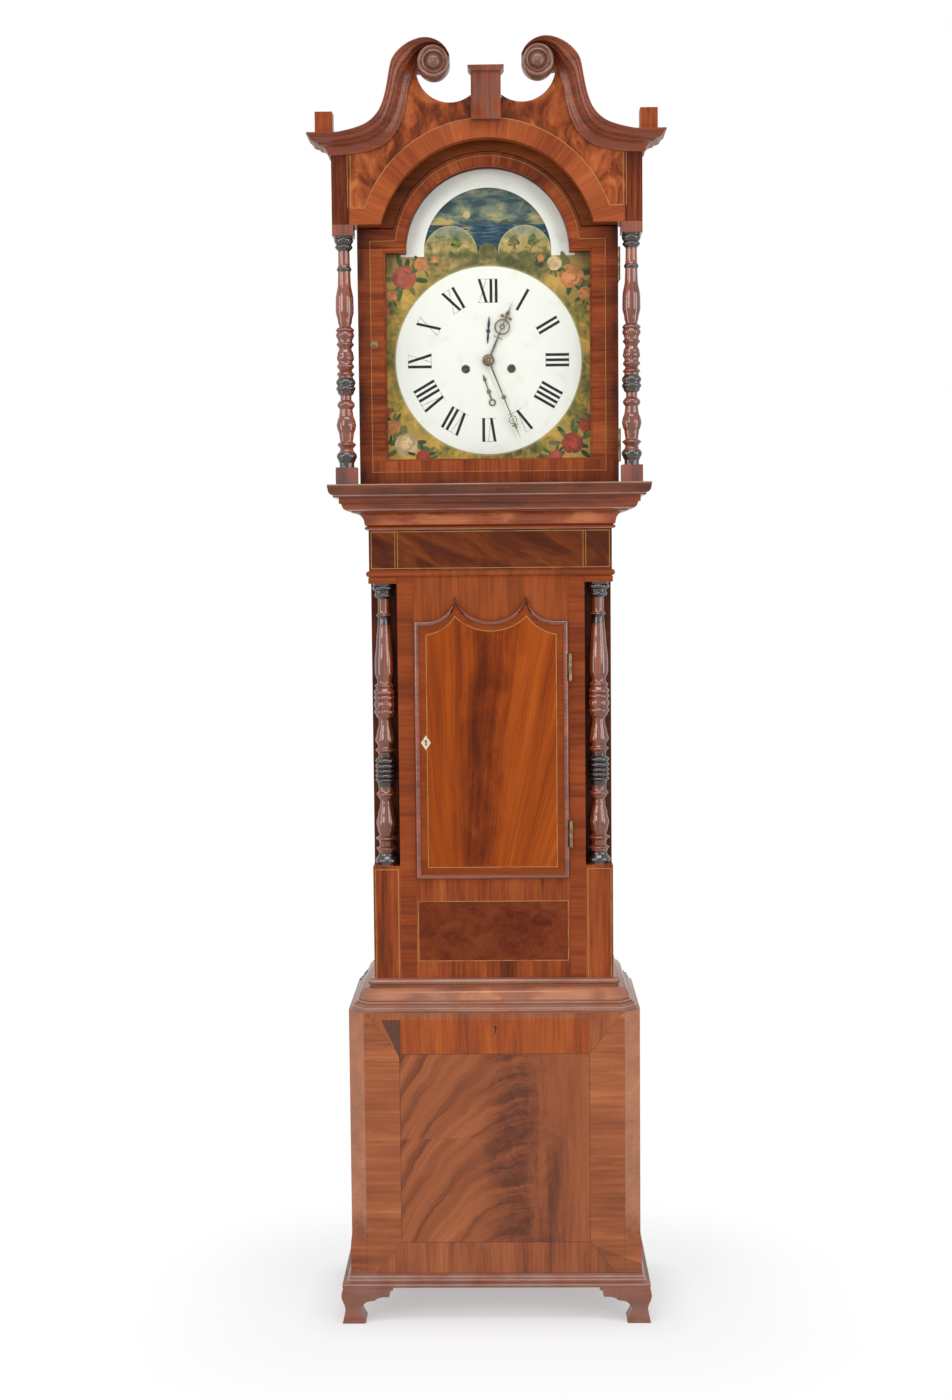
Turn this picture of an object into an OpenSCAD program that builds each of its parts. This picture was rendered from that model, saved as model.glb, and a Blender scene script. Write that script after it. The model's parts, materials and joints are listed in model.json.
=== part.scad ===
// Longcase clock with swan neck hood, turned columns, painted arch dial and eight day striking movement.
// Millimetres. Origin at the floor under the middle of the bounding box, front faces -Y, +Z is up.

/* [Case] */
// Width of the base box over its side boards
case_w = 494; // [484:1:504]
// Depth of the base box from its front face to the wall
case_d = 245; // [240:1:258]
// Thickness of the case boards
board_t = 18; // [16:0.5:19]
// Thickness of the backboard
back_t = 12; // [10:0.5:14]

/* [Base] */
// Height of the bracket feet
foot_h = 62; // [58:1:68]
// Height of the plinth moulding over the feet
plinth_h = 20; // [18:1:24]
// Height of the base box over the plinth moulding
base_h = 449; // [430:1:470]
// Leg of the canted corner seen from above
cant_w = 28; // [24:1:30]

/* [Trunk] */
// Height of the moulding between base and trunk
base_mould_h = 52; // [50:1:58]
// Width of the trunk over its side boards
trunk_w = 406; // [402:1:412]
// Height of the pedestals under the trunk columns
pedestal_h = 192; // [180:1:205]
// Height of the trunk columns between pedestal and cap
column_h = 478; // [460:1:500]
// Height of the frieze over the trunk columns
frieze_h = 67; // [60:1:76]
// Width of the trunk door over its moulded lip
door_w = 258; // [252:1:262]

/* [Hood] */
// Height of the moulding under the hood
hood_base_h = 21; // [19:1:25]
// Height of the hood columns zone between floor and frieze
hood_open_h = 418; // [412:1:428]
// Height of the hood frieze
hood_frieze_h = 109; // [104:1:116]
// Reach of the hood frieze beyond the side boards of the hood
hood_reach = 37; // [35:0.5:39]
// Forward reach of the cornice beyond the base face
crown_out = 56; // [52:1:60]
// Radius of the boss at the end of each swan neck
rosette_r = 26; // [24:0.5:28]

/* [Dial and movement] */
// Width of the dial plate
dial_w = 356; // [350:1:362]
// Radius of the moon opening
moon_r = 105; // [102:1:108]
// Length of the minute hand from its centre
minute_len = 142; // [130:1:148]
// Length of the hour hand from its centre
hour_len = 106; // [98:1:112]
// Radius of the gut barrels
barrel_r = 25; // [23:0.5:26]
// Radius of the weights
weight_r = 29; // [26:0.5:30]
// Length of the weights
weight_len = 190; // [170:1:205]
// Radius of the pendulum bob
bob_r = 57; // [52:1:62]

/* [Hidden] */
$fn = 64;
fit_gap = 0.3;
// The front face of the base box lies here, and p counts back from it.
face_y = -(case_d - crown_out) / 2;
case_half = case_w / 2;
trunk_half = trunk_w / 2;
trunk_p = 39;
z_plinth = foot_h;
z_base = foot_h + plinth_h;
z_base_top = z_base + base_h;
z_trunk = z_base_top + base_mould_h;
z_col0 = z_trunk + pedestal_h;
z_col1 = z_col0 + column_h;
cap_h = 10;
bead_h = 12;
z_bead = z_col1 + cap_h;
z_frieze = z_bead + bead_h;
z_frieze1 = z_frieze + frieze_h;
top_mould_h = 53;
z_seat = z_frieze1 + top_mould_h;
z_floor = z_seat + hood_base_h;
z_ent = z_floor + hood_open_h;
z_cor = z_ent + hood_frieze_h;
cornice_h = 30;
cornice_out = crown_out - 20;
z_roof = z_cor + cornice_h - 0.5;
hood_p = -20;
column_zone = 46;
recess_x = trunk_half - column_zone;
recess_p = trunk_p + 40;
// Hood box behind the columns
hood_side_t = 9;
hood_clear = 2;
box_half = trunk_half + hood_clear + hood_side_t;
hood_half = box_half + hood_reach;
hdoor_p = 14;
hdoor_t = 16;
hdoor_half = box_half - 0.5;
mask_p = hdoor_p + hdoor_t + 0.5;
mask_t = 6;
arch_z = z_ent - 42;
arch_r = 177.5;
dial_z = z_ent - 37;
hdoor_arch_r = 157;
sight_half = 168;
sight_arch_r = 134;
sight_z0 = z_floor + 42;
sight_z1 = z_ent - 40;
// Dial
dial_p = 40;
dial_t = 2;
cz = dial_z - dial_w / 2 + 1.5;
dial_arch_r = 143;
hump_r = 44;
hump_x = 61;
hub_r = 16;
wind_x = 38;
wind_dz = -13.7;
sec_dz = 48;
cal_dz = -51;
moon_disc_r = moon_r + 7;
moon_p = dial_p + dial_t + 2;
// Movement
plate_p0 = 60;
plate_t = 3;
plate_gap = 55;
plate_p1 = plate_p0 + plate_t + plate_gap;
plate_half = 66;
plate_z0 = cz - 72;
plate_z1 = cz + 92;
pillar_r = 5;
third_x = 8.3;
third_dz = 25.9;
escape_r = 21.5;
anchor_dz = sec_dz + 30.4;
anchor_z = cz + anchor_dz;
seat_t = 20;
seat_p0 = 58;
seat_p1 = 132;
cheek_top = plate_z0 - seat_t;
wind_z = cz + wind_dz;
line_p = 90;
line_x = wind_x + barrel_r;
gut_r = 0.9;
pulley_r = 24;
pulley_x = line_x + pulley_r;
weight_z0 = z_base + back_t + 56;
pulley_z0 = weight_z0 + weight_len + 60;
pend_p = 150;
pend_len = 994;
bob_z = anchor_z - pend_len;
bob_t = 30;
bell_p = 108;
bell_r = 46;
bell_z = plate_z1 + 14;

wood = [0.45, 0.22, 0.12];
dark = [0.12, 0.09, 0.08];
brass = [0.80, 0.62, 0.28];
steel = [0.55, 0.56, 0.58];
pale = [0.93, 0.92, 0.86];

// Unit vector, outward normal and mitre vector of a plan path walked with its outside on the right.
function unit(v) = v / norm(v);
function seg_dir(path, i) = unit(path[i + 1] - path[i]);
function seg_out(path, i) = [seg_dir(path, i)[1], -seg_dir(path, i)[0]];
function mitre(a, b) = (a + b) / (1 + a[0] * b[0] + a[1] * b[1]);
function joint_vec(path, i) =
    i == 0 ? seg_out(path, 0) :
    i == len(path) - 1 ? seg_out(path, i - 1) :
    mitre(seg_out(path, i - 1), seg_out(path, i));
// Quarter curves of a moulding: a hollow or a round from point a to point b.
function curve(a, b, n, round) = [for (i = [0:n]) let (t = 90 * i / n)
    round ? [a[0] + (b[0] - a[0]) * sin(t), a[1] + (b[1] - a[1]) * (1 - cos(t))]
          : [a[0] + (b[0] - a[0]) * (1 - cos(t)), a[1] + (b[1] - a[1]) * sin(t)]];
// Half round standing out by h between points a and b.
function bead(a, b, h, n) = let (d = b - a, q = [d[1], -d[0]] / norm(d))
    [for (i = [0:n]) let (t = 180 * i / n) a + d * (1 - cos(t)) / 2 + q * h * sin(t)];
// Circle arc points in degrees.
function arc(c, r, a0, a1, n) = [for (i = [0:n]) let (t = a0 + (a1 - a0) * i / n) c + r * [cos(t), sin(t)]];
function mirror_x(pts) = [for (i = [len(pts) - 1:-1:0]) [-pts[i][0], pts[i][1]]];
// Smooth curve through points, s steps for each span.
function spline_at(p0, p1, p2, p3, t) = 0.5 * (2 * p1 + (p2 - p0) * t
    + (2 * p0 - 5 * p1 + 4 * p2 - p3) * t * t + (3 * p1 - p0 - 3 * p2 + p3) * t * t * t);
function spline(pts, s) = let (n = len(pts)) concat([for (i = [0:n - 2]) for (k = [0:s - 1])
    spline_at(pts[max(i - 1, 0)], pts[i], pts[i + 1], pts[min(i + 2, n - 1)], k / s)], [pts[n - 1]]);

// Board from x0 to x1, p0 to p1 behind the base face, z0 to z1.
module board(x0, x1, p0, p1, z0, z1) {
    translate([x0, face_y + p0, z0])
        cube([x1 - x0, p1 - p0, z1 - z0]);
}
module board_pair(x0, x1, p0, p1, z0, z1) {
    board(x0, x1, p0, p1, z0, z1);
    board(-x1, -x0, p0, p1, z0, z1);
}
// Flat shape drawn in x and z, from p0 back to p1.
module plate(p0, p1) {
    translate([0, face_y + p1, 0])
        rotate([90, 0, 0])
            linear_extrude(height = p1 - p0)
                children();
}
// Round bar along the depth.
module rod_y(x, z, r, p0, p1) {
    translate([x, face_y + p1, z])
        rotate([90, 0, 0])
            cylinder(h = p1 - p0, r = r);
}
// Moulding: profile points are out from the path and height; only the named segments are made.
module run_along(prof, path, segs, t_in, z0, z1) {
    reach = 200;
    for (i = segs) {
        d = seg_dir(path, i);
        o = seg_out(path, i);
        a = path[i];
        b = path[i + 1];
        ma = joint_vec(path, i);
        mb = joint_vec(path, i + 1);
        start = b + d * reach;
        intersection() {
            multmatrix([[o[0], 0, -d[0], start[0]], [o[1], 0, -d[1], start[1]], [0, 1, 0, 0], [0, 0, 0, 1]])
                linear_extrude(height = norm(b - a) + 2 * reach)
                    polygon(prof);
            translate([0, 0, z0 - 1])
                linear_extrude(height = z1 - z0 + 2)
                    polygon([a - t_in * ma, a + reach * ma, b + reach * mb, b - t_in * mb]);
        }
    }
}
// Plan path round a case of half width w whose front is p0 and whose back is p1.
function case_path(w, p0, p1) = [[-w, face_y + p1], [-w, face_y + p0], [w, face_y + p0], [w, face_y + p1]];
function cant_path(w, p1, c) = [[-w, face_y + p1], [-w, face_y + c], [c - w, face_y], [w - c, face_y],
                                [w, face_y + c], [w, face_y + p1]];

// Bracket feet with an ogee face and a cut inner outline.
foot_len = 84;
foot_t = 17;
foot_face = spline([[14.5, 0], [12, foot_h * 0.17], [10, foot_h * 0.34], [11, foot_h * 0.48],
                    [15, foot_h * 0.68], [15.6, foot_h * 0.82], [13, foot_h]], 5);
foot_cut = spline([[38, -1], [41, foot_h * 0.07], [36.5, foot_h * 0.21], [33, foot_h * 0.38],
                   [37, foot_h * 0.52], [44, foot_h * 0.61], [55, foot_h * 0.64], [61, foot_h * 0.71],
                   [71, foot_h * 0.75], [80, foot_h * 0.76], [84, foot_h * 0.92], [foot_len + 20, foot_h * 0.93]], 4);
foot_side = 15;
module foot_corner() {
    w = case_half;
    path = [[-w, face_y + foot_len], [-w, face_y], [-w + foot_len - 12, face_y]];
    difference() {
        run_along(concat(foot_face, [[-foot_t, foot_h], [-foot_t, 0]]), path, [0, 1], foot_t, 0, foot_h);
        plate(-40, foot_t + 0.01)
            translate([-w - foot_side, 0])
                polygon(concat(foot_cut, [[foot_len + 20, -1]]));
        translate([-w - 60, face_y - foot_side, 0])
            rotate([90, 0, 90])
                linear_extrude(height = 60 + foot_t + 0.01)
                    polygon(concat(foot_cut, [[foot_len + 20, -1]]));
    }
}
module foot_back() {
    w = case_half;
    path = [[-w, face_y + case_d], [-w, face_y + case_d - foot_len + 12]];
    difference() {
        run_along(concat(foot_face, [[-foot_t, foot_h], [-foot_t, 0]]), path, [0], foot_t, 0, foot_h);
        translate([-w - 60, face_y + case_d + 1, 0])
            mirror([0, 1, 0])
                rotate([90, 0, 90])
                    linear_extrude(height = 60 + foot_t + 0.01)
                        polygon(concat(foot_cut, [[foot_len + 20, -1]]));
    }
    board(-w + foot_t, -w + 70, case_d - foot_t, case_d, 0, foot_h);
}
module bracket_feet() {
    color(wood) {
        foot_corner();
        foot_back();
        mirror([1, 0, 0]) {
            foot_corner();
            foot_back();
        }
    }
}
// Plinth moulding round the foot of the base box.
plinth_prof = concat([[-16, z_plinth], [14, z_plinth], [14, z_plinth + 6]],
                     curve([12, z_plinth + 7], [2, z_base - 2], 8, true), [[2, z_base], [-16, z_base]]);
module plinth_moulding() {
    color(wood) {
        run_along(plinth_prof, case_path(case_half, 0, case_d), [0, 1, 2], 16, z_plinth, z_base);
        board(16 - case_half, case_half - 16, case_d - 30, case_d, z_plinth, z_base);
    }
}
// Base front with canted corners that end in lamb's tongues above the bottom.
cant_stop = 46;
tongue_h = 16;
cant_depth = cant_w / sqrt(2);
function tongue(z) = 0.5 - 0.5 * cos(180 * z);
tongue_pts = [for (i = [0:10]) [cant_depth * (1 - tongue(i / 10)) + 0, z_base + cant_stop + tongue_h * i / 10]];
module cant_cut(side) {
    translate([side * case_half, face_y, 0])
        rotate([0, 0, side > 0 ? -45 : -135])
            rotate([90, 0, 0])
                translate([0, 0, -60])
                    linear_extrude(height = 120)
                        translate([-cant_depth, 0])
                            polygon(concat([[cant_depth + 20, z_base_top + 1], [0, z_base_top + 1]],
                                           [for (i = [10:-1:0]) tongue_pts[i]],
                                           [[cant_depth + 20, tongue_pts[0][1]]]));
}
module base_front() {
    color(wood) difference() {
        union() {
            board(-case_half, case_half, 0, board_t, z_base, z_base_top);
            board_pair(case_half - board_t - 14, case_half, board_t, cant_w + 12, z_base, z_base_top);
        }
        cant_cut(1);
        cant_cut(-1);
    }
}
module base_sides() {
    color(wood)
        board_pair(case_half - board_t, case_half, cant_w + 12, case_d, z_base, z_base_top);
}
module base_floor() {
    color(wood)
        board(board_t - case_half, case_half - board_t, cant_w + 12, case_d - back_t, z_base, z_base + back_t);
}
module backboard() {
    color(wood) {
        board(board_t - case_half, case_half - board_t, case_d - back_t, case_d, z_base, z_base_top);
        board(-trunk_half, trunk_half, case_d - back_t, case_d, z_base_top, z_roof - 2);
    }
}
// Moulding from the wide canted base up to the trunk.
zb = z_base_top;
mh = base_mould_h;
inset = case_half - trunk_half;
base_mould_prof = concat([[-inset, zb], [0, zb]],
    curve([0, zb + mh * 0.02], [-6, zb + mh * 0.14], 6, true),
    [[-9, zb + mh * 0.15], [-9, zb + mh * 0.24], [-13, zb + mh * 0.24], [-13, zb + mh * 0.31],
     [-17, zb + mh * 0.31], [-17, zb + mh * 0.38]],
    curve([-18, zb + mh * 0.40], [-33, zb + mh * 0.72], 9, false),
    [[-36, zb + mh * 0.74]],
    bead([-36, zb + mh * 0.78], [-36, zb + mh * 0.98], 4, 8),
    [[-37.5, zb + mh], [-inset, zb + mh]]);
base_path = cant_path(case_half, case_d, cant_w);
base_ring_in = [[-trunk_half, face_y + case_d], [-trunk_half, face_y + trunk_p + 7], [-trunk_half, face_y + trunk_p],
                [trunk_half, face_y + trunk_p], [trunk_half, face_y + trunk_p + 7], [trunk_half, face_y + case_d]];
bk = len(base_mould_prof);
base_ring = [for (i = [0:5]) for (k = [0:bk - 1]) let (q = base_mould_prof[k],
    at = k == 0 || k == bk - 1 ? base_ring_in[i] : base_path[i] + q[0] * joint_vec(base_path, i))
    [at[0], at[1], q[1]]];
function ring_faces(n, kc) = concat([[for (k = [0:kc - 1]) kc - 1 - k]],
    [for (i = [0:n - 2]) for (k = [0:kc - 1]) let (a = i * kc + k, b = i * kc + (k + 1) % kc) [a, b, b + kc, a + kc]],
    [[for (k = [0:kc - 1]) (n - 1) * kc + k]]);
module trunk_base_moulding() {
    color(wood)
        polyhedron(points = base_ring, faces = ring_faces(6, bk), convexity = 8);
}
// Trunk side boards, cut back behind the columns and reaching up as cheeks for the seatboard.
module trunk_sides() {
    color(wood) difference() {
        board_pair(trunk_half - board_t, trunk_half, recess_p + 8, case_d - back_t, z_base_top - 70, cheek_top);
        board_pair(trunk_half - board_t - 1, trunk_half + 1, 0, seat_p0 - 2, z_seat, cheek_top + 1);
    }
    color(wood) {
        board_pair(trunk_half - board_t, trunk_half, trunk_p + board_t, recess_p + 8, z_trunk, z_col0);
        board_pair(trunk_half - board_t, trunk_half, trunk_p + board_t, recess_p + 8, z_col1, z_seat);
    }
}
// Opening outline of the trunk door: two cusps with a hollow between them and at each side.
tdoor_z0 = z_trunk + 170;
tdoor_z1 = z_col1 - 64;
cusp_x = 60;
cusp_h = 41;
mid_r = 65;
side_r = 53;
function apart(pts) = [for (i = [0:len(pts) - 1]) if (norm(pts[i] - pts[(i + 1) % len(pts)]) > 0.01) pts[i]];
function door_line(e) = let (w = door_w / 2 + e, zt = tdoor_z1 + e, zc = tdoor_z1 + cusp_h + 1.65 * e)
    apart(concat([[-w, tdoor_z0 - e], [w, tdoor_z0 - e], [w, zt]],
        arc_between([w - 12, zt], [cusp_x, zc], side_r - e, 10),
        arc_between([cusp_x, zc], [-cusp_x, zc], mid_r - e, 14),
        arc_between([-cusp_x, zc], [12 - w, zt], side_r - e, 10), [[-w, zt]]));
// Arc from a to b that sags below the chord by the radius given.
function arc_between(a, b, r, n) = let (m = (a + b) / 2, h = norm(b - a) / 2, q = max(r, h + 0.1),
    d = unit(b - a), up = [-d[1], d[0]], c = m - up * sqrt(q * q - h * h),
    a0 = atan2(a[1] - c[1], a[0] - c[0]), a1 = atan2(b[1] - c[1], b[0] - c[0]),
    s = a1 - a0 > 180 ? a1 - a0 - 360 : a1 - a0 < -180 ? a1 - a0 + 360 : a1 - a0)
    [for (i = [0:n]) let (t = a0 + s * i / n) c + q * [cos(t), sin(t)]];
stile_gap = 2;
lip = 6;
module trunk_front_frame() {
    color(wood) {
        difference() {
            board(-recess_x, recess_x, trunk_p, trunk_p + board_t, z_trunk, z_frieze);
            plate(trunk_p - 1, trunk_p + board_t + 1)
                polygon(door_line(-lip));
            for (z = th_zs)
                board(door_w / 2 - lip - 1, th_x + 0.7, trunk_p - 1, trunk_p + 0.1 + leaf_t,
                      z - th_h / 2, z + th_h / 2 - fit_gap);
        }
        board(-trunk_half, trunk_half, trunk_p, trunk_p + board_t, z_frieze, z_frieze1);
        board_pair(recess_x - 8, recess_x, trunk_p + board_t, recess_p + 8, z_trunk, z_frieze);
        board_pair(recess_x, trunk_half, recess_p, recess_p + 8, z_col0, z_col1);
        board_pair(recess_x, trunk_half + 1.5, trunk_p - 1.5, trunk_p + board_t, z_col1, z_bead);
        difference() {
            run_along(concat([[-1, z_bead], [0, z_bead], [0, z_bead + 1]],
                             bead([0, z_bead + 1], [0, z_frieze - 1], 5, 8), [[0, z_frieze], [-1, z_frieze]]),
                      case_path(trunk_half, trunk_p, trunk_p + board_t), [0, 1, 2], 1, z_bead, z_frieze);
            board(-trunk_half + 1, trunk_half - 1, trunk_p + 1, case_d, z_bead - 1, z_frieze + 1);
        }
        board_pair(recess_x, trunk_half, trunk_p, trunk_p + board_t, z_bead, z_frieze);
        board_pair(recess_x, trunk_half - board_t, trunk_p + board_t, recess_p + 8, z_col1, z_bead);
    }
}
module trunk_pedestals() {
    color(wood)
        board_pair(recess_x, trunk_half, trunk_p, trunk_p + board_t, z_trunk, z_col0);
    color(wood)
        board_pair(recess_x, trunk_half - board_t, trunk_p + board_t, recess_p + 8, z_col0 - 14, z_col0);
}
neck_r = 14;
// Turned profile: keys are height and radius; kind 0 straight, 1 smooth, 2 half round to the next key.
function turn_step(k, i) = let (a = k[i], b = k[i + 1], n = a[2] == 0 ? 1 : a[2] == 1 ? 5 : 6)
    [for (j = [0:n - 1]) let (t = j / n)
        a[2] == 1 ? [a[1] + (b[1] - a[1]) * (0.5 - 0.5 * cos(180 * t)), a[0] + (b[0] - a[0]) * t] :
        a[2] == 2 ? [a[1] + (b[1] - a[1]) * t + a[3] * sin(180 * t), a[0] + (b[0] - a[0]) * t] :
                    [a[1], a[0]]];
function turned(k) = concat([for (i = [0:len(k) - 2]) for (q = turn_step(k, i)) q],
                            [[k[len(k) - 1][1], k[len(k) - 1][0]]]);
module turned_column(k, scale_z, z, swell = 1) {
    pts = [for (q = turned(k)) [swell == 1 ? q[0] : neck_r + swell * (q[0] - neck_r) + 0.3, q[1]]];
    translate([0, 0, z])
        rotate_extrude()
            polygon(concat([[0, pts[0][1] * scale_z]], [for (q = pts) [q[0], q[1] * scale_z]],
                           [[0, pts[len(pts) - 1][1] * scale_z]]));
}
trunk_keys = [[0, 16.5, 0], [3, 16.5, 2, 1.5], [13, 16, 0], [15, 14.5, 0], [20, 13, 1], [24, 14.5, 0],
    [26, 14.5, 2, 2], [31, 14.5, 0], [33, 12.5, 0], [40, 13, 0], [43, 14.5, 2, 2.5], [49, 14.5, 0],
    [51, 12.5, 1], [60, 14.5, 1], [72, 16, 1], [86, 14, 1], [103, 11.5, 1], [111, 10.8, 0], [115, 13, 0],
    [118, 13.5, 2, 2], [125, 13.5, 0], [128, 12.5, 0], [135, 13, 0], [142, 14, 2, 2.4], [149, 14, 2, 2.4],
    [157, 14, 2, 2.4], [165, 14, 2, 2.4], [174, 14, 2, 2.4], [183, 14, 0], [185, 12.5, 0], [190, 12.5, 0],
    [193, 13.5, 2, 2.4], [200, 13.5, 0], [203, 12.6, 1], [213, 16, 1], [226, 14, 1], [240, 11.8, 1],
    [248, 11.5, 1], [254, 14.5, 0], [257, 15, 2, 2], [266, 15, 2, 2], [281, 15, 2, 2], [290, 15, 2, 2],
    [299, 15, 0], [302, 14, 2, 2], [309, 13.5, 0], [312, 12.5, 1], [328, 15.6, 1], [345, 15.6, 1],
    [383, 13.2, 1], [408, 11.6, 1], [420, 10.8, 0], [422, 11.5, 2, 1.6], [427, 11.5, 0], [429, 10.8, 0],
    [452, 11, 0], [455, 13.8, 2, 1.2], [461, 13.8, 0], [466, 14, 0], [467, 16, 2, 1.4], [474, 16, 0], [478, 17, 0]];
hood_keys = [[0, 12, 0], [7, 12, 1], [13, 14.5, 2, 2.2], [24, 14.5, 0], [26, 12, 0], [31, 10.5, 0],
    [35, 13.5, 2, 2], [40, 13.5, 0], [42, 10.5, 1], [54, 12, 1], [64, 15, 2, 1], [74, 15, 1], [86, 11.5, 1],
    [95, 10.5, 0], [97, 12, 2, 2.4], [107, 12, 0], [110, 9, 1], [117, 9, 0], [120, 12.5, 0],
    [125, 14, 2, 2], [132, 14, 0], [134, 14, 2, 2], [143, 14, 0], [146, 11.8, 0], [149, 12, 2, 2.4],
    [155, 12, 0], [158, 10, 0], [161, 12, 2, 2.2], [168, 12, 0], [171, 11.5, 1], [177, 14.2, 1],
    [185, 13, 1], [193, 10, 0], [197, 12, 2, 2.4], [203, 12, 0], [206, 11.5, 0], [210, 13, 2, 2],
    [220, 13, 2, 2], [226, 13, 0], [229, 9.5, 1], [237, 11.5, 1], [254, 14.8, 1], [272, 14.5, 1],
    [300, 10.5, 1], [316, 10, 0], [318, 10.5, 2, 1.6], [324, 10.5, 0], [327, 9.6, 0], [350, 9.2, 0],
    [353, 12, 2, 2.4], [360, 12, 0], [364, 14.5, 2, 1], [370, 14.5, 0], [372, 15.5, 0]];
tcol_p = trunk_p + 18.5;
turning_swell = 1.35;
column_in = 22.5;
module trunk_columns() {
    color(wood)
        for (s = [-1, 1])
            translate([s * (trunk_half - column_in), face_y + tcol_p, 0])
                turned_column(trunk_keys, column_h / 478, z_col0, turning_swell);
}
// Moulding that spreads from the trunk to the hood.
zt0 = z_frieze1;
th = top_mould_h;
top_mould_prof = concat([[-board_t, zt0], [1.5, zt0]],
    bead([1.5, zt0], [1.5, zt0 + th * 0.12], 4.5, 8),
    [[5, zt0 + th * 0.15]],
    curve([6, zt0 + th * 0.17], [20, zt0 + th * 0.52], 9, false),
    [[26, zt0 + th * 0.55], [26, zt0 + th * 0.58]],
    curve([28, zt0 + th * 0.58], [41, zt0 + th * 0.80], 7, true),
    [[45, zt0 + th * 0.82], [45, zt0 + th], [-board_t, zt0 + th]]);
module trunk_top_moulding() {
    path = case_path(trunk_half, trunk_p, case_d);
    color(wood) {
        run_along(top_mould_prof, path, [0, 2], 0, zt0, zt0 + th);
        run_along(top_mould_prof, path, [1], board_t, zt0, zt0 + th);
        board(-trunk_half, trunk_half, trunk_p, trunk_p + board_t, zt0, zt0 + th);
    }
}
module seatboard() {
    color(wood) difference() {
        board(-trunk_half, trunk_half, seat_p0, seat_p1, cheek_top, plate_z0);
        for (s = [-1, 1]) {
            translate([s * line_x, face_y + line_p, cheek_top - 1])
                cylinder(h = seat_t + 2, r = 5);
            translate([s * (line_x + 2 * pulley_r), face_y + line_p, cheek_top - 1])
                cylinder(h = seat_t + 2, r = 2.5);
        }
    }
}
// Trunk door: moulded lip over the frame, body inside the opening, keyhole at the left.
key_x = 18 - door_w / 2;
key_z = (tdoor_z0 + tdoor_z1) / 2 + 14;
door_face = trunk_p - 3.9;
lip_foot = 1.6;
lip_nose = 3.9;
module keyhole(r, p0, p1) {
    rod_y(key_x, key_z + 3, r, p0, p1);
    board(key_x - r * 0.6, key_x + r * 0.6, p0, p1, key_z - 5, key_z + 3);
}
module trunk_door() {
    color(wood) difference() {
        union() {
            plate(trunk_p - lip_foot, trunk_p - fit_gap)
                polygon(door_line(0));
            for (i = [0:5])
                plate(trunk_p - lip_foot - lip_nose * sin(15 * (i + 1)), trunk_p - 1)
                    polygon(door_line(-4.6 * (1 - cos(15 * i + 7.5))));
            plate(trunk_p - fit_gap, trunk_p + board_t - 2)
                polygon(door_line(-lip - stile_gap));
        }
        plate(trunk_p - 8, trunk_p - 4.8)
            polygon(door_line(-6.4));
        plate(trunk_p - 8, door_face)
            polygon(door_line(-7.4));
        for (z = th_zs)
            door_leaf(z);
        keyhole(2, trunk_p - 8, trunk_p + board_t);
    }
}
module trunk_escutcheon() {
    color(pale) difference() {
        plate(door_face - 0.8, door_face)
            translate([key_x, key_z])
                polygon([[-8.5, 0], [0, -12.5], [8.5, 0], [0, 12.5]]);
        keyhole(2, door_face - 2, door_face + 1);
    }
}
// Butt hinges at the right edge of the trunk door; the pins belong to the case leaves.
th_x = door_w / 2 + 3.4;
th_p = trunk_p - 6;
th_r = 2.8;
th_zs = [tdoor_z1 - 78, tdoor_z0 + 76];
th_h = 46;
module knuckle(x, p, z0, z1, r, bore) {
    translate([x, face_y + p, z0])
        difference() {
            cylinder(h = z1 - z0, r = r, $fn = 32);
            if (bore > 0)
                translate([0, 0, -1])
                    cylinder(h = z1 - z0 + 2, r = bore, $fn = 32);
        }
}
leaf_t = 1;
// Space of the case leaf, let into the frame under the door's lip.
module case_leaf(z) {
    board(door_w / 2 - lip + 0.5, th_x + 0.7, trunk_p + 0.1, trunk_p + 0.1 + leaf_t,
          z - th_h / 2, z + th_h / 2 - fit_gap);
}
// Space of the door leaf, let into the back of the lip.
module door_leaf(z) {
    board(door_w / 2 - lip - 1, door_w / 2 + leaf_t, trunk_p - fit_gap - leaf_t, trunk_p - fit_gap,
          z - th_h / 6 + fit_gap, z + th_h / 6 - 2 * fit_gap);
}
module trunk_hinges_case() {
    color(brass)
        for (z = th_zs) {
            for (s = [-1, 1]) {
                zc = z + s * th_h / 3;
                knuckle(th_x, th_p, zc - th_h / 6, zc + th_h / 6 - fit_gap, th_r, 0);
                board(th_x - 0.7, th_x + 0.7, th_p, trunk_p + leaf_t, zc - th_h / 6, zc + th_h / 6 - fit_gap);
            }
            knuckle(th_x, th_p, z - th_h / 3, z + th_h / 3, 1.2, 0);
            case_leaf(z);
        }
}
module trunk_hinges_door() {
    color(brass)
        for (z = th_zs) {
            knuckle(th_x, th_p, z - th_h / 6 + fit_gap, z + th_h / 6 - 2 * fit_gap, th_r, 1.6);
            board(door_w / 2, door_w / 2 + leaf_t, th_p, trunk_p - fit_gap,
                  z - th_h / 6 + fit_gap, z + th_h / 6 - 2 * fit_gap);
            door_leaf(z);
        }
}
// Hood base: a three sided moulded frame, open at the back past the cheeks.
hood_in = trunk_half + hood_clear;
hb_prof = concat([[-10, z_seat], [5, z_seat], [5, z_seat + 3]],
                 curve([6, z_seat + 4], [13, z_floor - 5], 8, true), [[13.5, z_floor - 4], [13.5, z_floor], [-10, z_floor]]);
module hood_base_frame() {
    color(wood) difference() {
        union() {
            run_along(hb_prof, case_path(hood_half, hood_p, case_d), [0, 1, 2], 10, z_seat, z_floor);
            board(8 - hood_half, hood_half - 8, hood_p + 8, case_d, z_seat, z_floor);
        }
        board(-hood_in, hood_in, mask_p + mask_t, case_d + 10, z_seat - 5, z_floor + 5);
    }
}
module hood_sides() {
    color(wood)
        board_pair(hood_in, box_half, mask_p, case_d, z_floor, z_roof);
}
block_w = 34.4;
block_lo = 28;
block_hi = 18;
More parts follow.
